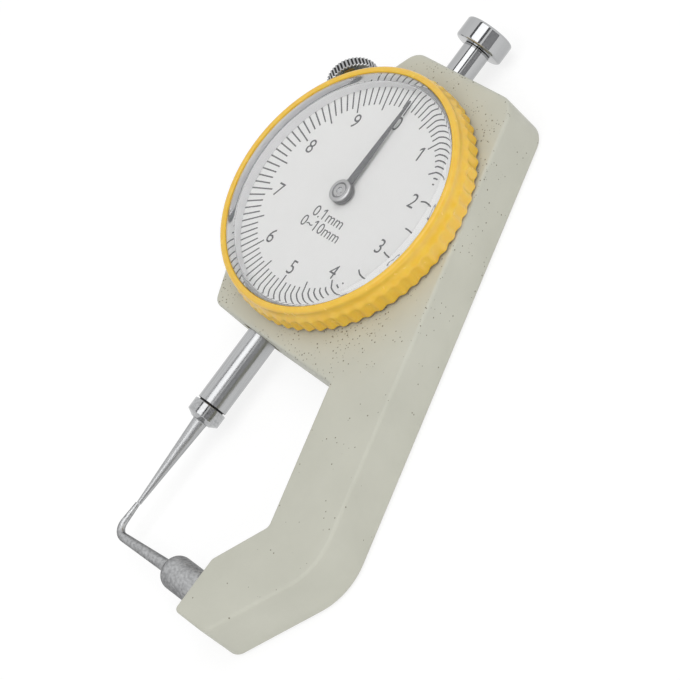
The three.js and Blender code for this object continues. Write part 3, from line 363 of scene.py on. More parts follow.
def piece(name, shape, material, body, replaces=(), carved=(), joined=(), sharp=35):
    """Finished piece on its body, smooth except where faces meet at more than the sharp angle."""
    made = make_object(name, shape)
    for other in joined:
        carve(made, other, "UNION")
    for cutter in carved:
        carve(made, cutter)
    dress(made.data, material)
    made.data.set_sharp_from_angle(angle=math.radians(sharp))
    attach(made, body)
    if replaces:
        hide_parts(*replaces)
    return made


def finish_part(made, material, chosen):
    """Further finish on the faces whose centres, in millimetres, the chosen test picks."""
    made.data.materials.append(material)
    count = len(made.data.polygons)
    centres, indices = np.empty(3 * count), np.zeros(count, np.int32)
    made.data.polygons.foreach_get("center", centres)
    made.data.polygons.foreach_get("material_index", indices)
    indices[chosen(centres.reshape(-1, 3) / MM)] = len(made.data.materials) - 1
    made.data.polygons.foreach_set("material_index", indices)


def dial_band(inner, outer, low, high):
    """Test that picks faces between two radii about the dial's axis and between two heights."""
    def chosen(centre):
        radius, height = np.hypot(centre[:, 0], centre[:, 1]), centre[:, 2]
        return (radius > inner) & (radius < outer) & (height > low) & (height < high)
    return chosen


def add(tree, kind, inputs=None, **settings):
    """Adds a node: settings are its properties, inputs are values or output sockets to link."""
    made = tree.nodes.new(kind)
    for key, value in settings.items():
        setattr(made, key, value)
    feed(tree, made, inputs or {})
    return made


def feed(tree, node, inputs):
    """Sets or links sockets of a node."""
    for key, value in inputs.items():
        if isinstance(value, bpy.types.NodeSocket):
            tree.links.new(value, node.inputs[key])
        else:
            node.inputs[key].default_value = value


def cleared(holder):
    """Empty node tree of a material or a world."""
    holder.use_nodes = True
    holder.node_tree.nodes.clear()
    return holder.node_tree


def cells(size):
    """Scale of a texture whose pattern has a size in millimetres."""
    return 1 / (size * MM)


def blank(name):
    """New material, its tree, its principled surface, its output and its object coordinates."""
    made = bpy.data.materials.new(name)
    tree = cleared(made)
    surface = add(tree, "ShaderNodeBsdfPrincipled")
    output = add(tree, "ShaderNodeOutputMaterial", {0: surface.outputs[0]})
    place = add(tree, "ShaderNodeTexCoord").outputs["Object"]
    return made, tree, surface, output, place


def grained(tree, place, size, detail, rough, spread, strength, depth):
    """Noise of a size in millimetres, the roughness that it moves by the spread to either side,
    and the bump that it makes, whose depth is in millimetres."""
    noise = add(tree, "ShaderNodeTexNoise", {
        "Vector": place, "Scale": cells(size), "Detail": detail}).outputs["Fac"]
    gloss = add(tree, "ShaderNodeMapRange", {
        "Value": noise, "From Min": 0.3, "From Max": 0.7,
        "To Min": rough - spread, "To Max": rough + spread})
    bump = add(tree, "ShaderNodeBump", {
        "Height": noise, "Strength": strength, "Distance": depth * MM})
    return noise, gloss.outputs[0], bump.outputs[0]


def pinholes(tree, place):
    """1 in the pinholes of the paint and 0 between them. A cell of 0.42 mm holds one where its
    random red falls below the share of its place, which varies over patches of 4 mm, is highest
    within 23 mm of the dial's axis, falls to a fifteenth of that at 31 mm, and is a fifth on the
    sides. Its radius follows the cell's random green, and its edge is soft."""
    cell = add(tree, "ShaderNodeTexVoronoi", {"Vector": place, "Scale": cells(0.42)})
    random = add(tree, "ShaderNodeSeparateColor", {"Color": cell.outputs["Color"]})
    patch = add(tree, "ShaderNodeTexNoise", {"Vector": place, "Scale": cells(4), "Detail": 2.0})
    crowd = add(tree, "ShaderNodeMapRange", {
        "Value": patch.outputs["Fac"], "From Min": 0.42, "From Max": 0.58,
        "To Min": 0.05, "To Max": 0.8})
    axes = add(tree, "ShaderNodeSeparateXYZ", {"Vector": place})
    level = add(tree, "ShaderNodeCombineXYZ", {"X": axes.outputs["X"], "Y": axes.outputs["Y"]})
    reach = add(tree, "ShaderNodeVectorMath", {0: level.outputs[0]}, operation="LENGTH")
    head = add(tree, "ShaderNodeMapRange", {
        "Value": reach.outputs["Value"], "From Min": 23 * MM, "From Max": 31 * MM,
        "To Min": 1.5, "To Max": 0.1})
    front = add(tree, "ShaderNodeMapRange", {
        "Value": axes.outputs["Z"], "From Min": 7.8 * MM, "From Max": 8.4 * MM,
        "To Min": 0.2, "To Max": 1.0})
    region = add(tree, "ShaderNodeMath", {0: head.outputs[0], 1: front.outputs[0]},
                 operation="MULTIPLY")
    share = add(tree, "ShaderNodeMath", {0: crowd.outputs[0], 1: region.outputs[0]},
                operation="MULTIPLY")
    chosen = add(tree, "ShaderNodeMath", {0: random.outputs[0], 1: share.outputs[0]},
                 operation="LESS_THAN")
    size = add(tree, "ShaderNodeMath", {0: random.outputs[1], 1: 0.26, 2: 0.1},
               operation="MULTIPLY_ADD")
    inside = add(tree, "ShaderNodeMath", {0: size.outputs[0], 1: cell.outputs["Distance"]},
                 operation="SUBTRACT")
    spot = add(tree, "ShaderNodeMath", {0: inside.outputs[0], 1: 9.0}, operation="MULTIPLY",
               use_clamp=True)
    return add(tree, "ShaderNodeMath", {0: spot.outputs[0], 1: chosen.outputs[0]},
               operation="MULTIPLY").outputs[0]


def powder_paint():
    """Powder paint on a zinc die casting. Brown pinholes of 0.1 to 0.3 mm that crowd in patches,
    most on the front round the bezel, orange peel of about 1.2 mm and cloudy patches of some 9 mm
    are what the eye gets."""
    made, tree, surface, _, place = blank("powder_paint_on_die_casting")
    cloud = add(tree, "ShaderNodeTexNoise", {"Vector": place, "Scale": cells(9), "Detail": 3.0})
    tone = add(tree, "ShaderNodeValToRGB", {"Fac": cloud.outputs["Fac"]})
    for stop, level, code in zip(tone.color_ramp.elements, (0.3, 0.7), ("C0C0B3", "C7C7BA")):
        stop.position, stop.color = level, linear(code)
    pinhole = pinholes(tree, place)
    toned = add(tree, "ShaderNodeMix", {
        "Factor": pinhole, "A": tone.outputs[0], "B": linear("736E5C")}, data_type="RGBA")
    peel = add(tree, "ShaderNodeTexNoise", {"Vector": place, "Scale": cells(1.2), "Detail": 2.0})
    depth = add(tree, "ShaderNodeMath", {0: pinhole, 1: -1.0, 2: peel.outputs["Fac"]},
                operation="MULTIPLY_ADD")
    bump = add(tree, "ShaderNodeBump", {
        "Height": depth.outputs[0], "Strength": 0.4, "Distance": 0.06 * MM})
    gloss = add(tree, "ShaderNodeMapRange", {
        "Value": peel.outputs["Fac"], "From Min": 0.3, "From Max": 0.7,
        "To Min": 0.42, "To Max": 0.55})
    feed(tree, surface, {"Base Color": toned.outputs["Result"], "Roughness": gloss.outputs[0],
                         "Normal": bump.outputs[0], "IOR": 1.5})
    return made


def moulded_abs():
    """Injection-moulded ABS, yellow, with a glossy skin and a faint flow texture of 2 mm."""
    made, tree, surface, _, place = blank("moulded_yellow_abs")
    flow, gloss, bump = grained(tree, place, 2, 2.0, 0.24, 0.04, 0.2, 0.03)
    tone = add(tree, "ShaderNodeValToRGB", {"Fac": flow})
    for stop, level, code in zip(tone.color_ramp.elements, (0.35, 0.65), ("EBBC32", "EFC33E")):
        stop.position, stop.color = level, linear(code)
    feed(tree, surface, {"Base Color": tone.outputs[0], "Roughness": gloss, "Normal": bump,
                         "IOR": 1.54, "Specular IOR Level": 0.7,
                         "Subsurface Weight": 0.15, "Subsurface Scale": 0.6 * MM})
    return made


def clear_acrylic():
    """Polished cast acrylic. The lamps' light reaches the dial straight through it, as through a
    thin window, and the eye sees it refract at an index of 1.49."""
    made, tree, surface, output, _ = blank("clear_acrylic")
    feed(tree, surface, {"Base Color": linear("FDFDFD"), "Roughness": 0.0, "IOR": 1.49,
                         "Transmission Weight": 1.0})
    path = add(tree, "ShaderNodeLightPath")
    through = add(tree, "ShaderNodeBsdfTransparent", {"Color": linear("F8F8F8")})
    mixed = add(tree, "ShaderNodeMixShader", {
        0: path.outputs["Is Shadow Ray"], 1: surface.outputs[0], 2: through.outputs[0]})
    feed(tree, output, {0: mixed.outputs[0]})
    return made


def metal(name, colour, rough, grain, stretch=(1.0, 1.0, 1.0), depth=0.004, spread=0.06,
          mottle=0.0, rim=0.0):
    """Metal whose roughness and surface vary with a noise of the given grain in millimetres,
    drawn out along the axes where the stretch is small, as turning or brushing leaves it. Mottle
    is the share by which the grain darkens the colour, and rim the share of painted shade that
    darkens it where sight glances off. Real marks are finer: they are drawn as coarse as they
    need to be to show."""
    made, tree, surface, _, place = blank(name)
    mapped = add(tree, "ShaderNodeMapping", {"Vector": place, "Scale": stretch})
    fine, gloss, bump = grained(tree, mapped.outputs[0], grain, 3.0, rough, spread, 0.3, depth)
    worn = add(tree, "ShaderNodeMapRange", {
        "Value": fine, "From Min": 0.35, "From Max": 0.65, "To Min": mottle, "To Max": 0.0})
    # Painted shade: glancing sight darkens the colour by the rim share
    painted_glance_shade = add(tree, "ShaderNodeLayerWeight", {"Blend": 0.62})
    edge = add(tree, "ShaderNodeMath", {0: painted_glance_shade.outputs["Facing"], 1: rim, 2: worn.outputs[0]},
               operation="MULTIPLY_ADD")
    # The dark tone serves both the grain's mottle and the painted glancing shade
    toned = add(tree, "ShaderNodeMix", {
        "Factor": edge.outputs[0], "A": linear(colour), "B": linear("3C3C3E")}, data_type="RGBA")
    feed(tree, surface, {"Base Color": toned.outputs["Result"], "Metallic": 1.0,
                         "Roughness": gloss, "Normal": bump})
    return made


def coat(name, colour, rough, grain):
    """Plain coating, print or plastic with a faint grain, in millimetres, in gloss and surface."""
    made, tree, surface, _, place = blank(name)
    _, gloss, bump = grained(tree, place, grain, 2.0, rough, 0.05, 0.2, 0.006)
    feed(tree, surface, {"Base Color": linear(colour), "Roughness": gloss, "Normal": bump})
    return made


PAINT = powder_paint()
YELLOW = moulded_abs()
ACRYLIC = clear_acrylic()

# Mirror plating over a polished rod: crisp bands of light and dark
CHROME = metal("polished_chromium_plate", "BEBFC0", 0.07, 0.6, (1.0, 0.08, 1.0), depth=0.001,
               spread=0.02, mottle=0.03, rim=0.3)
# Hard plating, ground round: the same bands with soft edges and fine streaks along the bar
HARD_CHROME = metal("ground_hard_chromium", "BFC0C1", 0.23, 0.3, (1.0, 0.04, 1.0), depth=0.002,
                    spread=0.04, mottle=0.12, rim=0.18)
# Steel ground to a taper: satin, with shade painted on at its sides
POINT_STEEL = metal("ground_steel", "C9CACB", 0.4, 0.3, (1.0, 0.15, 1.0), depth=0.003,
                    spread=0.05, mottle=0.14, rim=0.45)
# Steel polished by hand: bright, a little wavy and blotched
COLLAR_STEEL = metal("polished_collar_steel", "B8B9BA", 0.14, 0.4, depth=0.008, spread=0.05,
                     mottle=0.25)
# Nickel over a blasted surface: mottled satin, with shade painted on where sight glances off
NICKEL = metal("blasted_nickel_plate", "E2E3E4", 0.4, 0.5, depth=0.01, mottle=0.24, rim=0.9)
# Turned steel and brass, nearly all inside the head: satin, with a grain along the dial's axis
STEEL = metal("turned_steel", "B9BABC", 0.28, 0.4, (1.0, 1.0, 0.3))
BRASS = metal("turned_brass", "C9A455", 0.28, 0.4, (1.0, 1.0, 0.3))
# Faced nickel on the hub, and a darker copy of it painted as shade on the hub's side and in its
# lathe ring
HUB_NICKEL = metal("satin_turned_nickel", "C2C2C3", 0.3, 0.9, depth=0.0005, spread=0.03,
                   mottle=0.04, rim=0.5)
HUB_SHADE_PAINT = metal("hub_painted_shade", "7E7E80", 0.35, 0.6, depth=0.002, spread=0.04, mottle=0.08,
                   rim=0.4)
# Spring steel, tempered blue
BLUED = metal("blued_spring_steel", "3E4A63", 0.25, 0.3)
# Sprayed and printed coats: even and satin, so that the dial reads from any side
DIAL_WHITE = coat("satin_white_lacquer", "DEDEDD", 0.45, 0.8)
SEAT_GREY = coat("grey_seat_paint", "C9CDD1", 0.5, 0.8)
INK = coat("screen_printed_ink", "3C3D40", 0.5, 0.6)
LACQUER = coat("dark_grey_lacquer", "4F5053", 0.32, 0.7)
# Sawn and ground walls of the crystal: white, as ground plastic is
RIM_GREY = coat("frosted_rim", "E3E3E4", 0.5, 0.8)
GROUND_EDGE = coat("ground_acrylic_edge", "FBFBFC", 0.5, 0.8)
# Near-black shade painted into narrow gaps and valleys, where little light reaches
SHADOW_GAP = coat("painted_shade_in_gaps", "1C1C1D", 0.6, 0.8)
# Turned nylon: matt and ivory
NYLON = coat("natural_nylon", "E4DFD0", 0.5, 0.8)

SLOT_MATERIALS = {
    "frame_paint": PAINT,
    "bezel_yellow": YELLOW,
    "crystal_clear": ACRYLIC,
    "dial_white": DIAL_WHITE,
    "chrome": CHROME,
    "point_steel": POINT_STEEL,
    "anvil_steel": NICKEL,
    "steel": STEEL,
    "blued_steel": BLUED,
    "brass": BRASS,
    "pointer_paint": LACQUER,
    "nylon": NYLON,
}


def dress_nodes():
    """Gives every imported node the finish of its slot."""
    slots = {row["node"]: row["material_slot"] for row in frame["record"]["subparts"]}
    for name, node in frame["nodes"].items():
        material = SLOT_MATERIALS[slots[name]]
        if not node.data.materials:
            node.data.materials.append(material)
        for i in range(len(node.material_slots)):
            node.material_slots[i].material = material


def casting_rings():
    """Outline of the casting carried from back to front. At e (1 - cos t) from either face it
    stands back by e (1 - sin t), so that each edge is a quarter circle of radius e."""
    places, normals = [], []
    count = len(OUTLINE)
    for i, (x, y, radius) in enumerate(OUTLINE):
        before, after = OUTLINE[i - 1], OUTLINE[(i + 1) % count]
        arc, out = corner_arc(before[:2], np.array([x, y], float), after[:2], radius, 10)
        places.append(arc)
        normals.append(out)
    places, normals = np.vstack(places), np.vstack(normals)
    quarter = np.linspace(0, math.pi / 2, 6)
    back = 1 - np.sin(quarter)
    rise = 1 - np.cos(quarter)
    insets = EDGE_ROUND * np.concatenate([back, back[::-1]])
    heights = np.concatenate([EDGE_ROUND * rise, THICKNESS - EDGE_ROUND * rise[::-1]])
    flat = np.ones(len(places))
    return np.stack([np.column_stack([places - inset * normals, flat * z])
                     for inset, z in zip(insets, heights)])


def make_casting():
    """The outline carried from back to front, with the turned register on it and the bores of
    the movement, the bushes, the clamp screw and the anvil cut out."""
    register = turned([
        (0, POCKET_FLOOR, 0), (17, POCKET_FLOOR, 0), (17, REGISTER_FOOT, 0),
        (REGISTER_RADIUS, REGISTER_FOOT, 0), (REGISTER_RADIUS, WIRE_LOW, 0),
        (REGISTER_GROOVE, WIRE_LOW, 0), (REGISTER_GROOVE, WIRE_HIGH, 0),
        (REGISTER_RADIUS, WIRE_HIGH, 0), (REGISTER_RADIUS, REGISTER_TOP, 0.2),
        (0, REGISTER_TOP, 0)], 160)
    cutters = [
        rod(*POCKET, 128),
        along_y(rod(*LOWER_BUSH_BORE, 64)),
        along_y(rod(*UPPER_BUSH_BORE, 64)),
        along_clamp(rod(*CLAMP_BORE, 48)),
        along_x(rod(*SPIGOT_BORE, 48), FOOT_X, ANVIL_Y),
        along_y(rod(*SET_SCREW_BORE, 32), SET_SCREW_X),
        rod(*REAR_BUSH_BORE, 32),
    ]
    piece("casting", skin(casting_rings()), PAINT, "frame", ["frame"],
          joined=[skin(register)], carved=[skin(rings) for rings in cutters])


def make_bushes():
    """Plain rings on the spindle line, one at each end of the head."""
    for name, node, inner, outer, low, high in (
        ("lower_guide_bush", "lower_bush", 2.48, 3.33, -23.076, -15.755),
        ("upper_guide_bush", "upper_bush", 2.235, 3.085, 15.755, 24.35),
    ):
        rings = along_y(tube(inner, outer, low, high, 64))
        piece(name, skin(rings, loop=True), BRASS, "frame", [node])


def make_anvil():
    """The root is turned, with a dome. The hook's path is a straight run, a quarter circle of
    1.9 mm and a short rise, with circles square to its central differences, whose radius falls
    from 1.08 mm at the root to 0.7 mm at the bend and 0.36 mm at the tip."""
    dome, spigot = 1.7, 7
    root = turned([
        (0, -ANVIL_LENGTH, 0), (ANVIL_RADIUS, -ANVIL_LENGTH, dome), (ANVIL_RADIUS, -SEAT, 0.15),
        (SPIGOT_RADIUS, -SEAT, 0), (SPIGOT_RADIUS, spigot, 0), (0, spigot, 0)], 96, 12)
    bend, low = 1.9, ANVIL_Y - 0.6
    start = np.array([FOOT_X - 8.0, ANVIL_Y])  # inside the dome
    tip_x, tip_y = SPINDLE_X - 0.15, TIP_Y - REST_GAP
    corner = np.array([tip_x + bend, low])
    angles = np.linspace(0, math.pi / 2, 17)
    straight = start + (corner - start) * np.linspace(0, 1, 24)[:, None]
    arc = np.column_stack([tip_x + bend * (1 - np.sin(angles)), low + bend * (1 - np.cos(angles))])
    rise = np.column_stack([np.full(8, tip_x), np.linspace(low + bend, tip_y, 8)])
    flat = np.vstack([straight, arc[1:], rise[1:]])
    path = np.column_stack([flat, np.full(len(flat), SPINDLE_Z)])
    run = run_lengths(path)
    radii = np.interp(run, [0, run[len(straight) - 1], run[-1]], [1.08, 0.7, 0.36])
    up = np.array([[0, 0, 1]])
    hook = circles(path, np.cross(unit(np.gradient(path, axis=0)), up), up, radii, 48)
    piece("anvil_hook", skin(along_x(root, FOOT_X, ANVIL_Y)), NICKEL, "frame",
          ["anvil"], joined=[skin(hook)])


def rack_comb():
    """Cutter for the rack: spaces of 0.625 mm pitch with flanks at 20 degrees. The pitch line
    runs 1.5915 mm left of the dial's centre, the pinion's pitch radius."""
    pitch, slope, play = 0.625, math.tan(math.radians(20)), 0.0225
    addendum, dedendum = 0.17, 0.25
    line = -1.5915 - SPINDLE_X
    half = pitch / 4 + play
    wide, narrow = half + addendum * slope, half - dedendum * slope
    middles = pitch * np.arange(2, -19, -1)
    flat = np.ones(len(middles))
    tip, root = flat * (line + addendum), flat * (line - dedendum)
    teeth = np.stack([
        np.stack([tip, middles + wide], -1),
        np.stack([root, middles + narrow], -1),
        np.stack([root, middles - narrow], -1),
        np.stack([tip, middles - wide], -1),
    ], 1).reshape(-1, 2)
    outside = SPINDLE_RADIUS + 1
    outline = np.vstack([teeth, [outside, teeth[-1, 1]], [outside, teeth[0, 1]]])
    vertices, faces = plate(outline, -2.5, 2.5)
    return vertices + [SPINDLE_X, 0, SPINDLE_Z], faces


def in_end_gap(centre):
    """Faces of the recess at the spindle's end, where shade is painted as a dark line over the
    collar.
    """
    reach = np.hypot(centre[:, 0] - SPINDLE_X, centre[:, 2] - SPINDLE_Z)
    above = centre[:, 1] - SPINDLE_END
    return (reach < SPINDLE_RADIUS - 0.05) & (above > -0.04) & (above < END_GAP + 0.06)


def make_spindle_bar():
    """Turned bar on the spindle line that loses the rack, the flat for the clamp's pad and the
    hole of the guide pin."""
    gap_radius, gap_top = 2.05, SPINDLE_END + END_GAP
    bar = turned([
        (0, POINT_BORE_TOP, 0), (STUD_BORE, POINT_BORE_TOP, 0), (STUD_BORE, SPINDLE_END, 0),
        (gap_radius, SPINDLE_END, 0), (gap_radius, gap_top, 0), (SPINDLE_RADIUS, gap_top, 0.08),
        (SPINDLE_RADIUS, SPINDLE_TOP, 0.15), (STUD_BORE, SPINDLE_TOP, 0),
        (STUD_BORE, ROD_BORE_LOW, 0), (0, ROD_BORE_LOW, 0)])
    flat = box((SPINDLE_X - 5.6, -8, SPINDLE_Z - 3.4),
               (SPINDLE_X - ROD_RADIUS, SPINDLE_TOP + 1, SPINDLE_Z + 3.4))
    hole = along_x(rod(PIN_RADIUS + SEAT, -3.42, -0.575, 24), SPINDLE_X, PIN_Y)
    made = piece("spindle_bar", skin(along_y(bar)), HARD_CHROME, "spindle", ["spindle"],
                 carved=[rack_comb(), flat, skin(hole)])
    # Painted shade in the recess at the spindle's end
    finish_part(made, SHADOW_GAP, in_end_gap)


def make_lift_rod():
    """Turned rod above the bar, with a stud at each end, and the cap for the thumb on it."""
    rod_low, rod_top = SPINDLE_TOP + SEAT, CAP_LOW - SEAT
    stud_low, stud_top = ROD_BORE_LOW + SEAT, CAP_BORE_TOP - SEAT
    lift = turned([
        (0, stud_low, 0), (STUD_RADIUS, stud_low, 0), (STUD_RADIUS, rod_low, 0),
        (ROD_RADIUS, rod_low, 0.1), (ROD_RADIUS, rod_top, 0.1), (STUD_RADIUS, rod_top, 0),
        (STUD_RADIUS, stud_top, 0), (0, stud_top, 0)])
    piece("lift_rod_bar", skin(along_y(lift)), CHROME, "spindle", ["lift_rod"])
    top, edge = CAP_LOW + CAP_HEIGHT, 0.45
    cap = turned([
        (0, CAP_BORE_TOP, 0), (STUD_BORE, CAP_BORE_TOP, 0), (STUD_BORE, CAP_LOW, 0),
        (CAP_RADIUS, CAP_LOW, edge), (CAP_RADIUS, top, edge), (0, top, 0)], 160, 8)
    piece("thumb_cap_turned", skin(along_y(cap)), CHROME, "spindle", ["thumb_cap"])


def make_contact_point():
    """Cone that tapers from the collar to the tip, with a stud that goes into the bar."""
    collar_top, cone_top = SPINDLE_END - SEAT, POINT_TOP + 0.6
    stud_top = POINT_BORE_TOP - SEAT
    point = turned([
        (0, TIP_Y, 0), (0.35, TIP_Y, 0.1), (1.15, POINT_TOP, 0.25), (1.6, POINT_TOP, 0.12),
        (COLLAR_RADIUS, cone_top, 0.15), (COLLAR_RADIUS, collar_top, 0.15),
        (STUD_RADIUS, collar_top, 0), (STUD_RADIUS, stud_top, 0), (0, stud_top, 0)])
    made = piece("point_turned", skin(along_y(point)), POINT_STEEL, "spindle",
                 ["contact_point"])
    finish_part(made, COLLAR_STEEL, lambda centre: centre[:, 1] > POINT_TOP + 0.15)


def make_guide_pin():
    """Plain pin across the bar, rounded at its free end."""
    pin = turned([(0, -6.6, 0), (PIN_RADIUS, -6.6, 0.15), (PIN_RADIUS, -0.625, 0),
                  (0, -0.625, 0)], 32)
    piece("guide_pin_ground", skin(along_x(pin, SPINDLE_X, PIN_Y)), STEEL, "spindle",
          ["guide_pin"])


def make_return_spring():
    """Helix of eight turns from the anchor post to the guide pin: start + axis t + r (across
    cos a + Z sin a), with a round wire carried along it."""
    turns, steps, coil, wire = 8, 28, 0.95, 0.17
    top = np.array([SPINDLE_X - 5.6, -5.72, SPINDLE_Z])
    bottom = np.array([-7.4, -11.516, SPINDLE_Z])
    axis = top - bottom
    across = unit(np.array([axis[1], -axis[0], 0]))
    share = np.linspace(0, 1, turns * steps + 1)[:, None]
    angle = share * turns * TURN
    middle = bottom + axis * share
    path = middle + coil * (across * np.cos(angle) + np.array([0, 0, 1]) * np.sin(angle))
    along = unit(np.gradient(path, axis=0))
    outward = path - middle
    outward = unit(outward - along * np.sum(outward * along, axis=1)[:, None])
    rings = circles(path, outward, np.cross(along, outward), wire, 10)
    made = make_object("return_spring_coil", skin(rings))
    dress(made.data, STEEL)
    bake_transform(made)
    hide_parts("return_spring")


def make_hairspring():
    """Flat strip on an Archimedean spiral: its radius grows evenly from 1.75 to 5.6 mm in four
    turns that end at -40 degrees."""
    turns, inside, outside, strip_width = 4, 1.75, 5.6, 0.16
    low, high = 7.15, 7.6
    share = np.linspace(0, 1, turns * 64 + 1)
    angle = math.radians(-40) - TURN * turns * (1 - share)
    radius = inside + (outside - inside) * share
    spoke = np.stack([np.cos(angle), np.sin(angle)], -1)
    inner, outer = spoke * radius[:, None], spoke * (radius + strip_width)[:, None]
    lift = np.ones((len(share), 1))
    strip = np.stack([np.hstack([inner, lift * low]), np.hstack([outer, lift * low]),
                      np.hstack([outer, lift * high]), np.hstack([inner, lift * high])], 1)
    piece("hairspring_strip", skin(strip), BLUED, "frame", ["hairspring"])


def make_bezel():
    """Section revolved about the dial's axis. On the skirt the radius falls by 0.18 mm times
    1 + cos(a), where a makes one turn on each of the 63 flutes. The flutes fade out upwards as
    3 t^2 - 2 t^3 over 2.2 mm, into the soft groove under the lip."""
    depth, points, first_flute = 0.36, 12, math.radians(0.65)
    fade_top, fade_height = 12.9, 2.2
    shelf = DIAL_Z - 0.35
    inner = rounded([
        (20.0, BEZEL_LOW, 0), (BEZEL_BORE, BEZEL_LOW, 0.1), (BEZEL_BORE, WIRE_LOW, 0),
        (BEZEL_GROOVE, WIRE_LOW, 0), (BEZEL_GROOVE, WIRE_HIGH, 0), (BEZEL_BORE, WIRE_HIGH, 0),
        (BEZEL_BORE, shelf, 0), (BEZEL_SEAT, shelf, 0), (BEZEL_SEAT, 13.5, 0)])
    outer = rounded([
        (BEZEL_SEAT, 13.5, 0), (19.6, 14.1, 0.4), (20.76, 14.1, 0.6), (20.55, 12.6, 1.0),
        (RIDGE_RADIUS, 11.7, 0.8), (RIDGE_RADIUS, BEZEL_LOW, 0.3), (20.0, BEZEL_LOW, 0)], 8)
    section = np.vstack([inner[:-1], refined(outer, 0.22)[:-1]])
    radius = section[:, 0, None]
    count = FLUTES * points
    rings = revolve(section, count)
    phase = np.arange(count) / points + FLUTES * first_flute / TURN
    scallop = (1 + np.cos(TURN * phase)) / 2
    fade = np.clip((fade_top - section[:, 1]) / fade_height, 0, 1)
    fade = fade ** 2 * (3 - 2 * fade) * np.clip((section[:, 0] - 20.0) / 0.8, 0, 1)
    fall = depth * fade[:, None] * scallop[None, :]
    rings[..., :2] *= (1 - fall / radius)[..., None]
    made = piece("bezel_fluted", skin(rings, loop=True), YELLOW, "bezel",
                 ["bezel_ring"], sharp=50)
    finish_part(made, SEAT_GREY, dial_band(0, BEZEL_SEAT + 0.02, shelf - 0.01, math.inf))


def make_crystal():
    """Thick flat window whose edge falls away over 1.7 mm: height = top - R (1 - cos t) with
    radius = 17.8 + R sin t, where R = (1.7^2 + 0.615^2) / (2 * 0.615). This shoulder bends the
    sight lines to the graduations beside the camera. The deep rim holds the dial down."""
    fall, run = 0.615, 1.7
    big = (run ** 2 + fall ** 2) / (2 * fall)
    sweep = np.linspace(math.asin(run / big), 0, 17)
    shoulder = np.column_stack([CRYSTAL_RADIUS - run + big * np.sin(sweep),
                                CRYSTAL_TOP - big * (1 - np.cos(sweep))])
    low = DIAL_Z + SEAT
    under = rounded([
        (0, CRYSTAL_UNDER, 0), (CRYSTAL_BORE, CRYSTAL_UNDER, 0.2), (CRYSTAL_BORE, low, 0.05),
        (CRYSTAL_RADIUS, low, 0.05), (*shoulder[0], 0)], 5)[:-1]
    profile = np.vstack([under, shoulder, [[0, CRYSTAL_TOP]]])
    made = piece("crystal_window", skin(revolve(profile, 256)), ACRYLIC, "bezel",
                 ["crystal"], sharp=25)
    finish_part(made, RIM_GREY, dial_band(CRYSTAL_BORE - 0.03, CRYSTAL_BORE + 0.03, 11.1, 11.7))
    finish_part(made, GROUND_EDGE,
                dial_band(CRYSTAL_RADIUS - 0.06, math.inf, low + 0.06, shoulder[0, 1]))


def word_mesh(body):
    """Vertices and faces of a word in the plain font, whose digits are 0.682 high."""
    curve = bpy.data.curves.new("word", "FONT")
    curve.body = body
    curve.offset = -0.003
    curve.extrude = 0.004
    curve.resolution_u = 4
    word = linked("word", curve)
    mesh = evaluated_mesh(word)
    places = np.empty(len(mesh.vertices) * 3)
    mesh.vertices.foreach_get("co", places)
    faces = [list(face.vertices) for face in mesh.polygons]
    bpy.data.objects.remove(word)
    bpy.data.curves.remove(curve)
    bpy.data.meshes.remove(mesh)
    return places.reshape(-1, 3), faces


def lettering(body, height, width_share, centre):
    """Printed word of the given digit height, centred on a dial place. Each figure 1 gets the
    slanting flag that the font leaves out, which reaches 0.15 to its left and 0.22 down."""
    digit, stem, raised = 0.682, 0.098, 0.012
    shapes = [word_mesh(body)]
    for i, letter in enumerate(body):
        if letter == "1":
            left = word_mesh(body[:i + 1])[0][:, 0].max() - stem
            flag = np.array([[left, digit], [left - 0.15, digit - 0.12],
                             [left - 0.15, digit - 0.22], [left + 0.03, digit - 0.08]])
            shapes.append(plate(flag, -0.004, 0.004))
    places, faces = merged(shapes)
    scale = height / digit
    middle = (places[:, 0].min() + places[:, 0].max()) / 2
    return np.column_stack([(places[:, 0] - middle) * scale * width_share + centre[0],
                            (places[:, 1] - digit / 2) * scale + centre[1],
                            DIAL_Z + raised + places[:, 2] * 2]), faces


def make_dial():
    """The print is a hundred ticks, one each 3.6 degrees and longer at every fifth, ten digits
    and two lines of words, all turned by the dial's own 0.8 degrees."""
    disc = tube(DIAL_HOLE, DIAL_RADIUS, DIAL_Z - 0.3, DIAL_Z, 256, 0.08)
    piece("dial_disc", skin(disc, loop=True), DIAL_WHITE, "bezel", ["dial_plate"])
    ticks, digits = 100, 10
    half_width, long_start, short_start, tick_end, ink = 0.12, 14.5, 15.5, 19.2, 0.015
    digit_ring, digit_height, word_height = 13.08, 2.3, 1.75
    shapes = []
    for tick in range(ticks):
        start = long_start if tick % 5 == 0 else short_start
        block, faces = box((-half_width, start, DIAL_Z), (half_width, tick_end, DIAL_Z + ink))
        shapes.append((spin(block, -TURN * tick / ticks), faces))
    for digit in range(digits):
        angle = TURN * digit / digits
        place = digit_ring * math.sin(angle), digit_ring * math.cos(angle)
        shapes.append(lettering(str(digit), digit_height, 0.92, place))
    shapes.append(lettering("0.1mm", word_height, 1.01, (0, -3.99)))
    shapes.append(lettering("0~10mm", word_height, 0.98, (0, -6.09)))
    vertices, faces = merged(shapes)
    piece("dial_print", (spin(vertices, DIAL_TURN), faces), INK, "bezel")


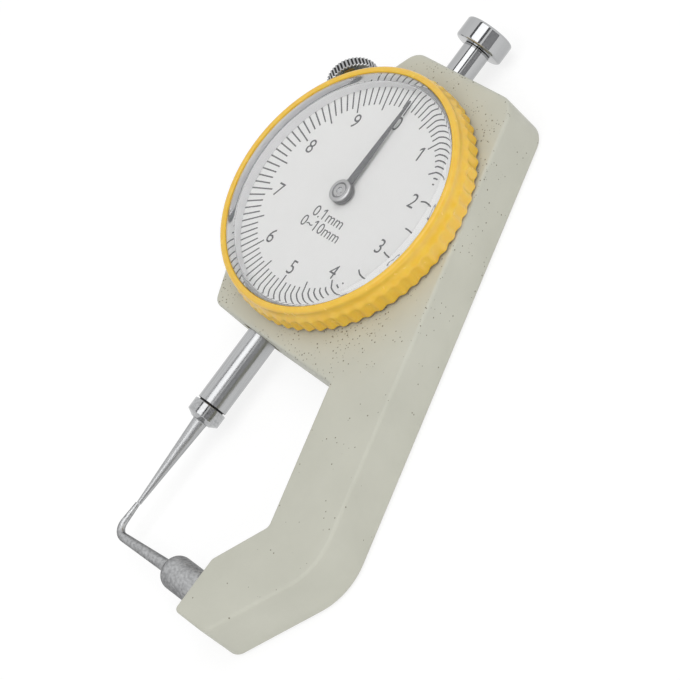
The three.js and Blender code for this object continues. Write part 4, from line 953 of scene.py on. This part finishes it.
def make_pointer():
    """Turned hub with a lathe ring and a sunk centre, whose groove holds the eye of a blade that
    tapers to a point 16.8 mm out. Shade is painted on the hub's side, in the ring and in the
    centre."""
    hub = rounded([
        (0, 0.3, 0), (HUB_RADIUS, 0.3, 0.05), (HUB_RADIUS, 0.6, 0), (1.6, 0.6, 0),
        (1.6, 0.95, 0), (HUB_RADIUS, 0.95, 0), (HUB_RADIUS, 1.55, 0.22), (1.28, 1.55, 0.04),
        (1.18, 1.42, 0.03), (1.04, 1.5, 0.03), (0.5, 1.5, 0.05), (0.36, 1.26, 0.03),
        (0.16, 1.32, 0), (0, 1.36, 0)], 5)
    hub[:, 1] += DIAL_Z
    made = piece("pointer_hub_turned", skin(revolve(hub, 96)), HUB_NICKEL, "pointer",
                 ["pointer_hub"])
    face = DIAL_Z + 1.2
    # Painted shade on the hub's side wall and in its lathe ring
    finish_part(made, HUB_SHADE_PAINT, dial_band(HUB_RADIUS - 0.05, math.inf, 0, DIAL_Z + 1.36))
    finish_part(made, HUB_SHADE_PAINT, dial_band(1.03, 1.31, face, math.inf))
    # Painted shade in the hub's sunk centre
    finish_part(made, SHADOW_GAP, dial_band(0.16, 0.5, face, math.inf))
    low, high = DIAL_Z + 0.65, DIAL_Z + 0.9
    eye = tube(1.65, 1.84, low, high, 96)
    blade = np.array([[-0.625, 1.74], [0.625, 1.74], [0.15, 16.5], [0.0, 16.8], [-0.15, 16.5]])
    piece("pointer_blade", skin(eye, loop=True), LACQUER, "pointer",
          ["pointer_hand"], joined=[plate(blade, low, high)])


def in_knurl(centre):
    """Faces in the valleys of the knob's knurls, where shade is painted."""
    x, y = centre[:, 0] - CLAMP_X, centre[:, 1] - CLAMP_Y
    across = x * CLAMP_COS + y * CLAMP_SIN
    along = y * CLAMP_COS - x * CLAMP_SIN
    up = SPINDLE_Z - centre[:, 2]
    phase = np.arctan2(up, across) % TURN * KNURLS / TURN % 1
    low, high = KNOB_LOW + 0.2, KNOB_LOW + KNOB_THICKNESS - 0.2
    return ((np.abs(phase - 0.5) * 2 > 0.62) & (np.hypot(across, up) > KNOB_RADIUS - 0.4)
            & (along > low) & (along < high))


def make_clamp():
    """The knob's radius is 4.1 mm less 0.24 mm times a triangle wave of 42 knurls, faded to a
    bevel at both faces. The shank is turned."""
    depth, bevel, points = 0.24, 0.3, 8
    top, middle = KNOB_LOW + KNOB_THICKNESS, KNOB_LOW + KNOB_THICKNESS / 2
    section = rounded([(0, KNOB_LOW, 0), (KNOB_RADIUS, KNOB_LOW, bevel),
                       (KNOB_RADIUS, top, bevel), (0, top, 0)], 5)
    section = np.insert(section, 1, [[3.2, KNOB_LOW]], 0)
    count = KNURLS * points
    rings = revolve(section, count)
    wave = np.abs((np.arange(count) / points) % 1 - 0.5) * 2
    rim = np.clip((section[:, 0] - 3.6) / 0.4, 0, 1)
    fall = depth * rim[:, None] * wave[None, :]
    rings[..., :2] *= (1 - fall / np.maximum(section[:, 0, None], 1))[..., None]
    shank = turned([
        (0, -8.26, 0), (0.7, -8.26, 0), (0.7, -7.11, 0), (1.5, -7.11, 0.1), (1.5, 4.7, 0),
        (2.2, 4.7, 0.15), (2.2, middle, 0), (0, middle, 0)], 64)
    made = piece("clamp_knob", skin(along_clamp(rings)), CHROME, "clamp_screw",
                 ["clamp_screw"], joined=[skin(along_clamp(shank))], sharp=28)
    # Painted shade in the valleys of the knurls
    finish_part(made, SHADOW_GAP, in_knurl)


def seen_rays(tree):
    """1 for the rays that show a thing to the eye, straight, in a mirror or through glass, and 0
    for those that carry its light to the object."""
    path = add(tree, "ShaderNodeLightPath").outputs
    eye = add(tree, "ShaderNodeMath", {0: path["Is Camera Ray"], 1: path["Is Glossy Ray"]},
              operation="MAXIMUM")
    glass = add(tree, "ShaderNodeMath", {0: eye.outputs[0], 1: path["Is Transmission Ray"]},
                operation="MAXIMUM")
    first = add(tree, "ShaderNodeMath", {0: path["Diffuse Depth"], 1: 0.5},
                operation="LESS_THAN")
    return add(tree, "ShaderNodeMath", {0: glass.outputs[0], 1: first.outputs[0]},
               operation="MULTIPLY").outputs[0]


def make_floor():
    """White paper sweep. It shows as white to the eye, metal and glass, keeps a quarter of its
    own shading, and can't be seen from below."""
    sheet = make_object("floor", flat_sheet(8000, 8000, -0.2))
    made = bpy.data.materials.new("white_paper_sweep")
    tree = cleared(made)
    share = add(tree, "ShaderNodeMath", {0: seen_rays(tree), 1: 0.75}, operation="MULTIPLY")
    paper = add(tree, "ShaderNodeBsdfDiffuse", {"Color": linear("F4F4F4")})
    glow = add(tree, "ShaderNodeEmission", {"Color": linear("FFFFFF"), "Strength": 1.08})
    shown = add(tree, "ShaderNodeMixShader", {
        0: share.outputs[0], 1: paper.outputs[0], 2: glow.outputs[0]})
    side = add(tree, "ShaderNodeNewGeometry")
    nothing = add(tree, "ShaderNodeBsdfTransparent")
    mixed = add(tree, "ShaderNodeMixShader", {
        0: side.outputs["Backfacing"], 1: shown.outputs[0], 2: nothing.outputs[0]})
    add(tree, "ShaderNodeOutputMaterial", {0: mixed.outputs[0]})
    sheet.data.materials.append(made)


def make_world():
    """Even soft light on the object, and plain white to the eye."""
    world = bpy.data.worlds.new("studio")
    bpy.context.scene.world = world
    tree = cleared(world)
    white = linear("FFFFFF")
    soft = add(tree, "ShaderNodeBackground", {"Color": white, "Strength": 0.52})
    shown = add(tree, "ShaderNodeBackground", {"Color": white, "Strength": 1.0})
    mixed = add(tree, "ShaderNodeMixShader", {
        0: seen_rays(tree), 1: soft.outputs[0], 2: shown.outputs[0]})
    add(tree, "ShaderNodeOutputWorld", {0: mixed.outputs[0]})


def placed(place, right, up, back):
    """Matrix of a thing at a place in millimetres, from its three directions."""
    axes = np.column_stack([right, up, back]).tolist()
    turn = Matrix([[*row, 0] for row in axes] + [[0, 0, 0, 1]])
    return Matrix.Translation(np.multiply(place, MM).tolist()) @ turn


def aimed(place):
    """Matrix of a lamp or card at a place in millimetres whose -Z looks at the object."""
    back = unit(np.subtract(place, AIM))
    right = unit(np.cross((0, 1, 0), back))
    return placed(place, right, np.cross(back, right), back)


def make_lamp(name, place, size, power):
    """Rectangular lamp at a place in millimetres, with its size in metres and power in watts."""
    data = bpy.data.lights.new(name, "AREA")
    data.shape = "RECTANGLE"
    data.size, data.size_y = size
    data.energy = power
    lamp = linked(name, data)
    lamp.matrix_world = aimed(place)
    return lamp


def make_card(name, place, width, height, shade):
    """Grey card that only mirrors see, as used beside chrome in a studio, in millimetres."""
    card = make_object(name, flat_sheet(width, height))
    card.data.transform(aimed(place))
    made = bpy.data.materials.new(name)
    made.use_nodes = True
    surface = made.node_tree.nodes["Principled BSDF"]
    feed(made.node_tree, surface, {"Base Color": linear(shade), "Roughness": 1.0})
    card.data.materials.append(made)
    for ray in ("camera", "diffuse", "transmission", "volume_scatter", "shadow"):
        setattr(card, f"visible_{ray}", False)


def make_camera():
    """Camera at the photograph's viewing angle."""
    data = bpy.data.cameras.new("camera")
    data.lens = CAMERA_LENS
    data.sensor_width = CAMERA_SENSOR
    data.clip_start, data.clip_end = 0.01, 20
    camera = linked("camera", data)
    camera.matrix_world = placed(CAMERA_PLACE, CAMERA_RIGHT, CAMERA_UP, CAMERA_BACK)
    bpy.context.scene.camera = camera


dress_nodes()
make_casting()
make_bushes()
make_anvil()
make_spindle_bar()
make_lift_rod()
make_contact_point()
make_guide_pin()
make_return_spring()
make_hairspring()
make_bezel()
make_crystal()
make_dial()
make_pointer()
make_clamp()

make_camera()
make_floor()
make_world()
make_lamp("key", (120, 30, 685), (0.44, 0.96), 2.44)
make_lamp("side_fill", (650, -150, 160), (0.5, 0.3), 1.2).visible_glossy = False
make_card("key_frame", (121, 30, 689), 740, 1200, "808082")
make_card("side_flag", (850, -20, 350), 700, 1200, "C4C4C6")
bpy.context.scene.view_settings.view_transform = "Standard"
